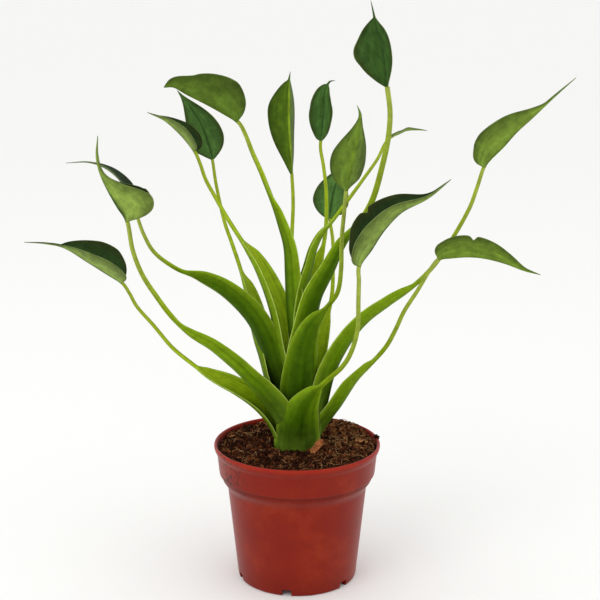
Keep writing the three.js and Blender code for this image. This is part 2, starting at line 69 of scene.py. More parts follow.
DRAIN_HOLE_CIRCLE = 26 * MM
DRAIN_HOLE_SIDES = 24
WELD_DISTANCE = 0.001 * MM
SHARP_ANGLE = math.radians(40)
SPLASH_PLACE = (-0.052, -0.03, 0.088)
SPLASH_CORE = 9 * MM
SPLASH_REACH = 27 * MM


def linear(hex_colour):
    """An sRGB colour such as #8e2b20, as linear red, green, blue and alpha."""
    parts = [int(hex_colour[i:i + 2], 16) / 255 for i in (1, 3, 5)]
    return tuple(c / 12.92 if c <= 0.04045 else ((c + 0.055) / 1.055) ** 2.4 for c in parts) + (1.0,)


def join(material, node, links):
    """Feeds sockets of a node, each from a socket or from the first output that a node has in use."""
    for name, source in dict(links).items():
        if isinstance(source, bpy.types.Node):
            source = next(output for output in source.outputs if output.enabled)
        material.node_tree.links.new(source, node.inputs[name])


def add_node(material, kind, settings=(), links=()):
    """Adds a shader node, with values for its sockets, properties, stops or range, and what feeds it."""
    node = material.node_tree.nodes.new("ShaderNode" + kind)
    for name, value in dict(settings).items():
        if name == "stops":
            ramp = node.color_ramp
            while len(ramp.elements) < len(value):
                ramp.elements.new(0.5)
            for element, (place, colour) in zip(ramp.elements, value):
                element.position = place
                element.color = linear(colour) if isinstance(colour, str) else (colour,) * 3 + (1.0,)
        elif name == "range":
            for socket, number in zip(("From Min", "From Max", "To Min", "To Max"), value):
                node.inputs[socket].default_value = number
        elif isinstance(name, int) or name in node.inputs:
            node.inputs[name].default_value = value
        else:
            setattr(node, name, value)
    join(material, node, links)
    return node


def new_material(name, **settings):
    """A material of one Principled shader with these socket values, and that shader."""
    material = bpy.data.materials.new(name)
    material.use_nodes = True
    shader = material.node_tree.nodes["Principled BSDF"]
    for socket, value in settings.items():
        shader.inputs[socket.replace("_", " ")].default_value = value
    return material, shader


def new_object(name, mesh, material=None):
    """Puts an object of a finished mesh in the scene."""
    data = bpy.data.meshes.new(name)
    mesh.to_mesh(data)
    mesh.free()
    if material:
        data.materials.append(material)
    made = bpy.data.objects.new(name, data)
    bpy.context.scene.collection.objects.link(made)
    return made


def finish_piece(name, mesh, material, nodes=(), smooth=True):
    """Makes the object of a finished mesh, hangs it on the root body and hides the imported parts it stands
    for.
    """
    piece = new_object(name, mesh, material)
    piece.data.polygons.foreach_set("use_smooth", [smooth] * len(piece.data.polygons))
    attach(piece, "root")
    if nodes:
        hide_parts(*nodes)
    return piece


def cut_away(piece, cutters):
    """Cuts the cutters out of a piece, and removes them."""
    group = bpy.data.collections.new("cutters")
    bpy.context.scene.collection.children.link(group)
    for cutter in cutters:
        group.objects.link(cutter)
    cut = piece.modifiers.new("cut", "BOOLEAN")
    cut.operation = "DIFFERENCE"
    cut.operand_type = "COLLECTION"
    cut.collection = group
    cut.solver = "MANIFOLD"
    bpy.context.view_layer.update()
    result = bpy.data.meshes.new_from_object(piece.evaluated_get(bpy.context.evaluated_depsgraph_get()))
    piece.modifiers.clear()
    piece.data = result
    result.set_sharp_from_angle(angle=SHARP_ANGLE)
    bpy.data.collections.remove(group)
    for cutter in cutters:
        bpy.data.objects.remove(cutter)


def turned(profile, sides):
    """A closed profile of radius and height, turned once round the pot's axis."""
    mesh = bmesh.new()
    corners = [mesh.verts.new((radius, 0, height)) for radius, height in profile]
    edges = [mesh.edges.new(pair) for pair in zip(corners, corners[1:])]
    bmesh.ops.spin(mesh, geom=corners + edges, cent=(0, 0, 0), axis=(0, 0, 1), angle=math.tau,
                   steps=sides, use_merge=True, use_duplicate=False)
    bmesh.ops.remove_doubles(mesh, verts=mesh.verts, dist=WELD_DISTANCE)
    bmesh.ops.recalc_face_normals(mesh, faces=mesh.faces)
    return mesh


def softened(profile, rounds=2):
    """The same profile with its corners cut off again and again, which rounds them as a mould does."""
    for _ in range(rounds):
        rounded = [profile[0]]
        for (r0, z0), (r1, z1) in zip(profile, profile[1:]):
            share = min(MOST_CUT_SHARE, CORNER_CUT / math.hypot(r1 - r0, z1 - z0))
            rounded.append((r0 + (r1 - r0) * share, z0 + (z1 - z0) * share))
            rounded.append((r1 - (r1 - r0) * share, z1 - (z1 - z0) * share))
        rounded.append(profile[-1])
        profile = rounded
    return profile


pot_outside = [
    (0, POT_FLOOR), (FOOT_RADIUS - 4 * MM, POT_FLOOR), (FOOT_RADIUS - 3.4 * MM, 0),
    (FOOT_RADIUS - 0.8 * MM, 0), (FOOT_RADIUS, 1 * MM), (SHOULDER_RADIUS, SHOULDER_BOTTOM),
    (STEP_RADIUS, STEP_HEIGHT), (STEP_RADIUS + 2.8 * MM, STEP_HEIGHT + 4 * MM),
    (COLLAR_RADIUS - 1.5 * MM, COLLAR_BOTTOM - 0.4 * MM),
    (COLLAR_RADIUS - 0.2 * MM, COLLAR_BOTTOM - 0.4 * MM), (COLLAR_RADIUS, COLLAR_BOTTOM + 0.4 * MM),
    (RIM_RADIUS - 2.2 * MM, POT_HEIGHT - 7 * MM), (RIM_RADIUS - 0.7 * MM, POT_HEIGHT - 4.5 * MM),
    (RIM_RADIUS, POT_HEIGHT - 2 * MM), (RIM_RADIUS - 0.3 * MM, POT_HEIGHT - 0.5 * MM),
    (RIM_RADIUS - 1 * MM, POT_HEIGHT),
]
pot_inside = [
    (RIM_RADIUS - 2.1 * MM, POT_HEIGHT - 0.7 * MM), (RIM_RADIUS - 2.8 * MM, POT_HEIGHT - 7 * MM),
    (COLLAR_RADIUS - POT_WALL, COLLAR_BOTTOM + 2 * MM), (STEP_RADIUS - POT_WALL, STEP_HEIGHT + 0.5 * MM),
    (SHOULDER_RADIUS - POT_WALL, SHOULDER_BOTTOM),
    (FOOT_RADIUS - POT_WALL + 0.4 * MM, POT_FLOOR + POT_WALL), (0, POT_FLOOR + POT_WALL),
]

# Polypropylene, moulded against a matt tool with a grain of about 0.6 mm: a satin skin, cloudy over
# some 36 mm, with painted shade under the collar, a painted highlight on the lip, a little darker
# towards the foot, and specks of wet mix dried on the left of the collar.
pot_plastic, pot_shader = new_material("moulded_polypropylene", IOR=1.49, Roughness=0.42,
                                       Specular_IOR_Level=0.1, Sheen_Weight=0.12, Sheen_Roughness=0.4)
place = add_node(pot_plastic, "TexCoord").outputs["Object"]
cloud = add_node(pot_plastic, "TexNoise", {"Scale": 28, "Detail": 8, "Roughness": 0.7}, {"Vector": place})
plastic_tone = add_node(pot_plastic, "ValToRGB", {
    "stops": [(0.3, "#781a12"), (0.52, "#81200f"), (0.75, "#932f17")]}, {"Fac": cloud})
height = add_node(pot_plastic, "SeparateXYZ", {}, {"Vector": place}).outputs["Z"]
up_pot = add_node(pot_plastic, "MapRange", {"range": (0, POT_HEIGHT)}, {"Value": height})
# Painted shade under the collar and a painted highlight along the lip; the pot is also a little darker
# towards the foot.
painted_ledge_shade_and_lip_light = add_node(pot_plastic, "ValToRGB", {
    "stops": [(0.0, 0.88), (0.2, 1.0), (0.66, 1.0), (0.71, 0.93), (0.775, 0.68), (0.782, 1.0),
              (0.96, 1.0), (0.985, 1.4)]}, {"Fac": up_pot})
speck = add_node(pot_plastic, "TexNoise", {"Scale": 380, "Detail": 3}, {"Vector": place})
speck_mask = add_node(pot_plastic, "ValToRGB", {"stops": [(0.52, 0.0), (0.6, 1.0)]}, {"Fac": speck})
patch = add_node(pot_plastic, "VectorMath", {"operation": "DISTANCE", 1: SPLASH_PLACE}, {0: place})
patch_mask = add_node(pot_plastic, "MapRange", {"range": (SPLASH_CORE, SPLASH_REACH, 1, 0)},
                      {"Value": patch})
splash = add_node(pot_plastic, "Math", {"operation": "MULTIPLY"}, {0: speck_mask, 1: patch_mask})
stained = add_node(pot_plastic, "Mix", {"data_type": "RGBA", 7: linear("#3a1611")}, {
    0: splash, 6: plastic_tone})
shaded = add_node(pot_plastic, "VectorMath", {"operation": "MULTIPLY"}, {0: stained, 1: painted_ledge_shade_and_lip_light})
grain = add_node(pot_plastic, "TexNoise", {"Scale": 1600, "Detail": 1}, {"Vector": place})
pot_bump = add_node(pot_plastic, "Bump", {"Strength": 0.12, "Distance": 0.3 * MM}, {"Height": grain})
join(pot_plastic, pot_shader, {"Base Color": shaded, "Normal": pot_bump})

pot_mesh = turned(softened(pot_outside + pot_inside), POT_SIDES)
pot = finish_piece("nursery_pot", pot_mesh, pot_plastic, ["pot"])
cutters = []
for notch in range(NOTCHES):
    turn = Matrix.Rotation(FIRST_NOTCH_ANGLE + notch * math.tau / NOTCHES, 4, "Z")
    box = bmesh.new()
    middle = Matrix.Translation((FOOT_RADIUS - 1 * MM, 0, (NOTCH_HEIGHT - 1 * MM) / 2))
    stretch = Matrix.Diagonal((NOTCH_DEPTH, NOTCH_WIDTH, NOTCH_HEIGHT + 1 * MM, 1))
    bmesh.ops.create_cube(box, size=1, matrix=turn @ middle @ stretch)
    cutters.append(new_object("notch_cutter", box))
    drill = bmesh.new()
    middle = Matrix.Translation((DRAIN_HOLE_CIRCLE, 0, POT_FLOOR + POT_WALL / 2))
    bmesh.ops.create_cone(drill, cap_ends=True, segments=DRAIN_HOLE_SIDES, radius1=DRAIN_HOLE_RADIUS,
                          radius2=DRAIN_HOLE_RADIUS, depth=4 * POT_WALL, matrix=turn @ middle)
    cutters.append(new_object("hole_cutter", drill))
cut_away(pot, cutters)

# The potting mix
# Real piece: damp peat with coir fibre and bark fines, pressed in by hand round the crown. It stands
# a little below the lip in loose clods, is heaped and drier at the back right, and its face is all
# crumbs and fibres. Four crumbs lie spilt on the lip: place, rise and radius are in millimetres.
MIX_EDGE = 96.5 * MM
MIX_MOUND = 3 * MM
HEAP_HEIGHT = 4.5 * MM
HEAP_PLACE = Vector((33 * MM, 33 * MM))
HEAP_SPREAD = 19 * MM
CROWN_HOLE = 19 * MM
HOLE_BOTTOM = 66 * MM
MIX_GAP = 0.3 * MM
MIX_RADIUS = 56.6 * MM
MIX_SIDES = 150
MIX_BANDS = 34
CLOD_RELIEF = 2 * MM
CLOD_SCALE = 130
LUMP_RELIEF = 1.3 * MM
LUMP_SCALE = 260
GRIT_SCALE = 620
SETTLED_EDGE = 3 * MM
EDGE_DROP = 1.5 * MM
CRUMBS = 5600
CRUMBS_IN_A_BATCH = 140
CRUMB_FIELD = 56.2 * MM
CRUMB_HOLE_SHARE = 19.5 / 57
CRUMB_SIZES = (0.4, 0.5, 0.6, 0.8, 1.0, 1.2, 1.5, 2.0)
CRUMB_TONES = (0.0, 0.04, 0.08, 0.1, 0.15, 0.22, 0.38)
CRUMB_RELIEF = 0.6
CRUMB_SCALE = 900
DRY_X = 30 * MM
DRY_Y = 25 * MM
DRY_SPREAD = 24 * MM
DRY_TONES = (0.3, 0.66)
DRY_ANYWHERE = 0.07
DRY_THERE = 0.5
SPILT_CRUMBS = ((57.5, 9, -0.6, 1.7), (59, 7.4, -0.1, 1.1), (57.3, 12, -0.8, 1.2), (58.9, 5.2, 0, 0.7))
SPILT_TONE = 0.06
FIBRES = 2400
FIBRE_FIELD = 55 * MM
FIBRE_HOLE_SHARE = 20.5 / 57
FIBRES_ALL_ROUND = 0.6
FIBRE_REACH = (20 * MM, 56 * MM)
FIBRE_RISE = 0.9 * MM
FIBRE_THICKNESS = 0.1 * MM
FIBRE_TONES = (0.2, 0.35, 0.45, 0.5, 0.6, 0.75)
LONG_FIBRE = 7 * MM


def mix_top(x, y):
    """The height of the mix's face, before its crumbs."""
    mound = MIX_EDGE + MIX_MOUND * (1 - (math.hypot(x, y) / RIM_RADIUS) ** 2)
    heap = HEAP_HEIGHT * math.exp(-(Vector((x, y)) - HEAP_PLACE).length_squared / HEAP_SPREAD ** 2)
    return mound + heap + CLOD_RELIEF * noise.noise(Vector((x, y, 0)) * CLOD_SCALE)


# Peat: brown-black crumbs with flecks of about a millimetre, that take the light only on their
# edges, with red-brown and tan fibres. The tone of each crumb and fibre picks its colour.
peat, peat_shader = new_material("damp_peat_and_coir", Roughness=0.95, Specular_IOR_Level=0.05)
place = add_node(peat, "TexCoord").outputs["Object"]
tone = add_node(peat, "Attribute", {"attribute_name": "tone"}).outputs["Fac"]
fleck = add_node(peat, "TexNoise", {"Scale": 900, "Detail": 3}, {"Vector": place})
mottle = add_node(peat, "Math", {"operation": "MULTIPLY_ADD", 1: 0.35}, {0: fleck, 2: tone})
peat_colour = add_node(peat, "ValToRGB", {"stops": [
    (0.12, "#1b0d07"), (0.35, "#351a0f"), (0.6, "#5f311b"), (0.85, "#9a683c"), (1.0, "#cda571")]},
    {"Fac": mottle})
peat_bump = add_node(peat, "Bump", {"Strength": 0.6, "Distance": 0.8 * MM}, {"Height": fleck})
join(peat, peat_shader, {"Base Color": peat_colour, "Normal": peat_bump})

# Seeds both the draws and the vector noise, which would else start from the clock.
random.seed(7)
noise.seed_set(7)
mix_bottom = POT_FLOOR + POT_WALL + MIX_GAP
mix_profile = [(0, mix_bottom), (FOOT_RADIUS - POT_WALL, mix_bottom),
               (SHOULDER_RADIUS - POT_WALL - MIX_GAP, SHOULDER_BOTTOM),
               (STEP_RADIUS - POT_WALL - MIX_GAP, STEP_HEIGHT + 0.5 * MM),
               (COLLAR_RADIUS - POT_WALL - MIX_GAP, COLLAR_BOTTOM + 2 * MM)]
for band in range(MIX_BANDS + 1):
    mix_profile.append((MIX_RADIUS + (CROWN_HOLE - MIX_RADIUS) * band / MIX_BANDS, MIX_EDGE))
mix_profile += [(CROWN_HOLE, HOLE_BOTTOM), (0, HOLE_BOTTOM)]
soil = turned(mix_profile, MIX_SIDES)
soil_tone = soil.verts.layers.float.new("tone")
for corner in soil.verts:
    x, y, z = corner.co
    if z > MIX_EDGE - WELD_DISTANCE:
        edge = min((MIX_RADIUS - math.hypot(x, y)) / SETTLED_EDGE, 1)
        lump = noise.noise(Vector((x, y, 0)) * LUMP_SCALE)
        lump += 0.6 * noise.noise(Vector((x, y, 0.01)) * GRIT_SCALE)
        corner.co.z = mix_top(x, y) + edge * LUMP_RELIEF * lump - (1 - edge) * EDGE_DROP
    corner[soil_tone] = 0.1 + 0.22 * max(0, noise.noise(corner.co * 330) + 0.3)
finish_piece("potting_mix_body", soil, peat, ["potting_mix"])

crumbs = bmesh.new()
for batch in range(CRUMBS // CRUMBS_IN_A_BATCH):
    heap = bmesh.new()
    crumb_tone = heap.verts.layers.float.new("tone")
    for crumb in range(CRUMBS_IN_A_BATCH):
        spread = math.sqrt(random.uniform(CRUMB_HOLE_SHARE ** 2, 1)) * CRUMB_FIELD
        angle = random.uniform(0, math.tau)
        x, y = spread * math.cos(angle), spread * math.sin(angle)
        size = random.choice(CRUMB_SIZES) * random.uniform(0.8, 1.2) * MM
        turn = Matrix.Rotation(random.uniform(0, math.tau), 4, Vector((random.random(), random.random(), 1)))
        stretch = Matrix.Diagonal((random.uniform(0.9, 1.8), random.uniform(0.5, 0.9),
                                   random.uniform(0.25, 0.6), 1))
        middle = Matrix.Translation((x, y, mix_top(x, y) + random.uniform(0.2, 0.7) * size))
        made = bmesh.ops.create_icosphere(heap, subdivisions=1, radius=size, matrix=middle @ turn @ stretch)
        shade = random.choice(CRUMB_TONES) + random.uniform(0, 0.08)
        dry = math.exp(-((x - DRY_X) ** 2 + (y - DRY_Y) ** 2) / DRY_SPREAD ** 2)
        if random.random() < DRY_ANYWHERE + DRY_THERE * dry:
            shade = random.uniform(*DRY_TONES)
        shade = max(shade + 0.22 * noise.noise(Vector((x, y, 0.3)) * 100), 0)
        for corner in made["verts"]:
            corner.co += size * CRUMB_RELIEF * noise.noise_vector(corner.co * CRUMB_SCALE)
            corner[crumb_tone] = shade
    batch_mesh = bpy.data.meshes.new("crumb_batch")
    heap.to_mesh(batch_mesh)
    heap.free()
    crumbs.from_mesh(batch_mesh)
    bpy.data.meshes.remove(batch_mesh)
finish_piece("peat_crumbs", crumbs, peat, smooth=False)

spilt = bmesh.new()
spilt_tone = spilt.verts.layers.float.new("tone")
for x, y, rise, size in SPILT_CRUMBS:
    middle = Matrix.Translation((x * MM, y * MM, POT_HEIGHT + (rise + 0.5 * size) * MM))
    made = bmesh.ops.create_icosphere(spilt, subdivisions=2, radius=size * MM, matrix=middle)
    for corner in made["verts"]:
        corner.co += size * 0.5 * MM * noise.noise_vector(corner.co * 600)
        corner[spilt_tone] = SPILT_TONE
finish_piece("spilt_crumbs", spilt, peat, smooth=False)

fibres = bmesh.new()
fibre_tone = fibres.verts.layers.float.new("tone")
for fibre in range(FIBRES):
    spread = math.sqrt(random.uniform(FIBRE_HOLE_SHARE ** 2, 1)) * FIBRE_FIELD
    angle = random.uniform(0, math.tau) if random.random() < FIBRES_ALL_ROUND else random.gauss(0.5, 0.55)
    start = Vector((spread * math.cos(angle), spread * math.sin(angle)))
    heading = random.uniform(0, math.tau)
    bend = random.uniform(-1, 1) * 0.9
    length = random.uniform(2, 5) * random.choice((0.7, 1, 1, 2.6)) * MM
    width = random.uniform(0.03, 0.09) * MM
    lift = random.uniform(0.2, 1.0) * random.choice((0.8, 1.2, 2.2)) * MM
    tilt = random.uniform(-1, 1) * random.choice((0.3, 0.5, 1.2)) * 3 * MM
    strip = bmesh.ops.create_grid(fibres, x_segments=6, y_segments=1, size=0.5)
    shade = random.choice(FIBRE_TONES) + random.uniform(0, 0.1)
    if length > LONG_FIBRE:
        shade += 0.2
    for corner in strip["verts"]:
        along = corner.co.x
        here = heading + bend * along
        spot = start + Vector((math.cos(here), math.sin(here))) * along * length
        spot = spot.normalized() * min(max(spot.length, FIBRE_REACH[0]), FIBRE_REACH[1])
        rise = lift * (1 - (2 * along) ** 2) + tilt * along
        side = Vector((-math.sin(here), math.cos(here))) * corner.co.y * 2 * width
        corner.co = (spot.x + side.x, spot.y + side.y, mix_top(spot.x, spot.y) + FIBRE_RISE + rise)
        corner[fibre_tone] = shade
strands = finish_piece("coir_fibres", fibres, peat)
thicken = strands.modifiers.new("thickness", "SOLIDIFY")
thicken.thickness = FIBRE_THICKNESS

# The bark chip
# Real piece: one flake of pine bark out of the mix, torn on its edges, standing on the mix with its
# top against the crown. Its outline is in millimetres.
BARK_PLACE = Vector((14, -21, 104.3)) * MM
BARK_LEAN = math.radians(58)
BARK_TURN = math.radians(20)
BARK_OUTLINE = ((-5.6, -4.4), (-2.6, -5), (0.8, -2), (4.6, 0.8), (5.2, 4), (2.6, 5), (-0.8, 3), (-3, 0.4),
                (-5.6, -1.6))
BARK_UNDERSIDE = -0.4 * MM
BARK_THICKNESS = 2.2 * MM
TORN_RELIEF = 0.7 * MM
LAYER_RELIEF = 0.35 * MM

# Pine bark: dry corky layers of about 1.4 mm, rust-brown where fresh and dark where weathered.
bark, bark_shader = new_material("pine_bark", Roughness=0.85)
place = add_node(bark, "TexCoord").outputs["Object"]
layers = add_node(bark, "TexNoise", {"Scale": 700, "Detail": 4, "Distortion": 1.0}, {"Vector": place})
bark_colour = add_node(bark, "ValToRGB", {
    "stops": [(0.3, "#431a09"), (0.48, "#8c4b1c"), (0.7, "#c0793f")]}, {"Fac": layers})
bark_bump = add_node(bark, "Bump", {"Strength": 0.8, "Distance": 0.6 * MM}, {"Height": layers})
join(bark, bark_shader, {"Base Color": bark_colour, "Normal": bark_bump})
chip = bmesh.new()
face = chip.faces.new([chip.verts.new((x * MM, y * MM, BARK_UNDERSIDE)) for x, y in BARK_OUTLINE])
raised = bmesh.ops.extrude_face_region(chip, geom=[face])
bmesh.ops.translate(chip, verts=[v for v in raised["geom"] if isinstance(v, bmesh.types.BMVert)],
                    vec=(0, 0, BARK_THICKNESS))
bmesh.ops.recalc_face_normals(chip, faces=chip.faces)
bmesh.ops.triangulate(chip, faces=chip.faces)
bmesh.ops.subdivide_edges(chip, edges=chip.edges, cuts=5, use_grid_fill=True)
bmesh.ops.smooth_vert(chip, verts=chip.verts, factor=0.5, use_axis_x=True, use_axis_y=True, use_axis_z=True)
for corner in chip.verts:
    corner.co += TORN_RELIEF * noise.noise_vector(corner.co * 420)
    corner.co.z += LAYER_RELIEF * math.sin(corner.co.x * 2600 + 2 * math.sin(corner.co.y * 900))
turn = Matrix.Rotation(BARK_TURN, 4, "Z") @ Matrix.Rotation(BARK_LEAN, 4, "X")
bmesh.ops.transform(chip, matrix=Matrix.Translation(BARK_PLACE) @ turn, verts=chip.verts)
finish_piece("bark_flake", chip, bark, ["bark_chip"], smooth=False)

# The rootstock
# Real piece: the corm that the sheaths grow from, hidden in the mix: pale flesh under a thin brown
# skin, ringed by the scars of old leaves.
corm, corm_shader = new_material("corm_skin", Roughness=0.75)
place = add_node(corm, "TexCoord").outputs["Object"]
rings = add_node(corm, "TexWave", {"Scale": 90, "Distortion": 3, "bands_direction": "Z"},
                 {"Vector": place}).outputs["Fac"]
corm_colour = add_node(corm, "ValToRGB", {"stops": [(0.2, "#7d6138"), (0.8, "#cbb88c")]}, {"Fac": rings})
join(corm, corm_shader, {"Base Color": corm_colour})
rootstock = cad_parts["rootstock"]
rootstock.data.materials.clear()
rootstock.data.materials.append(corm)

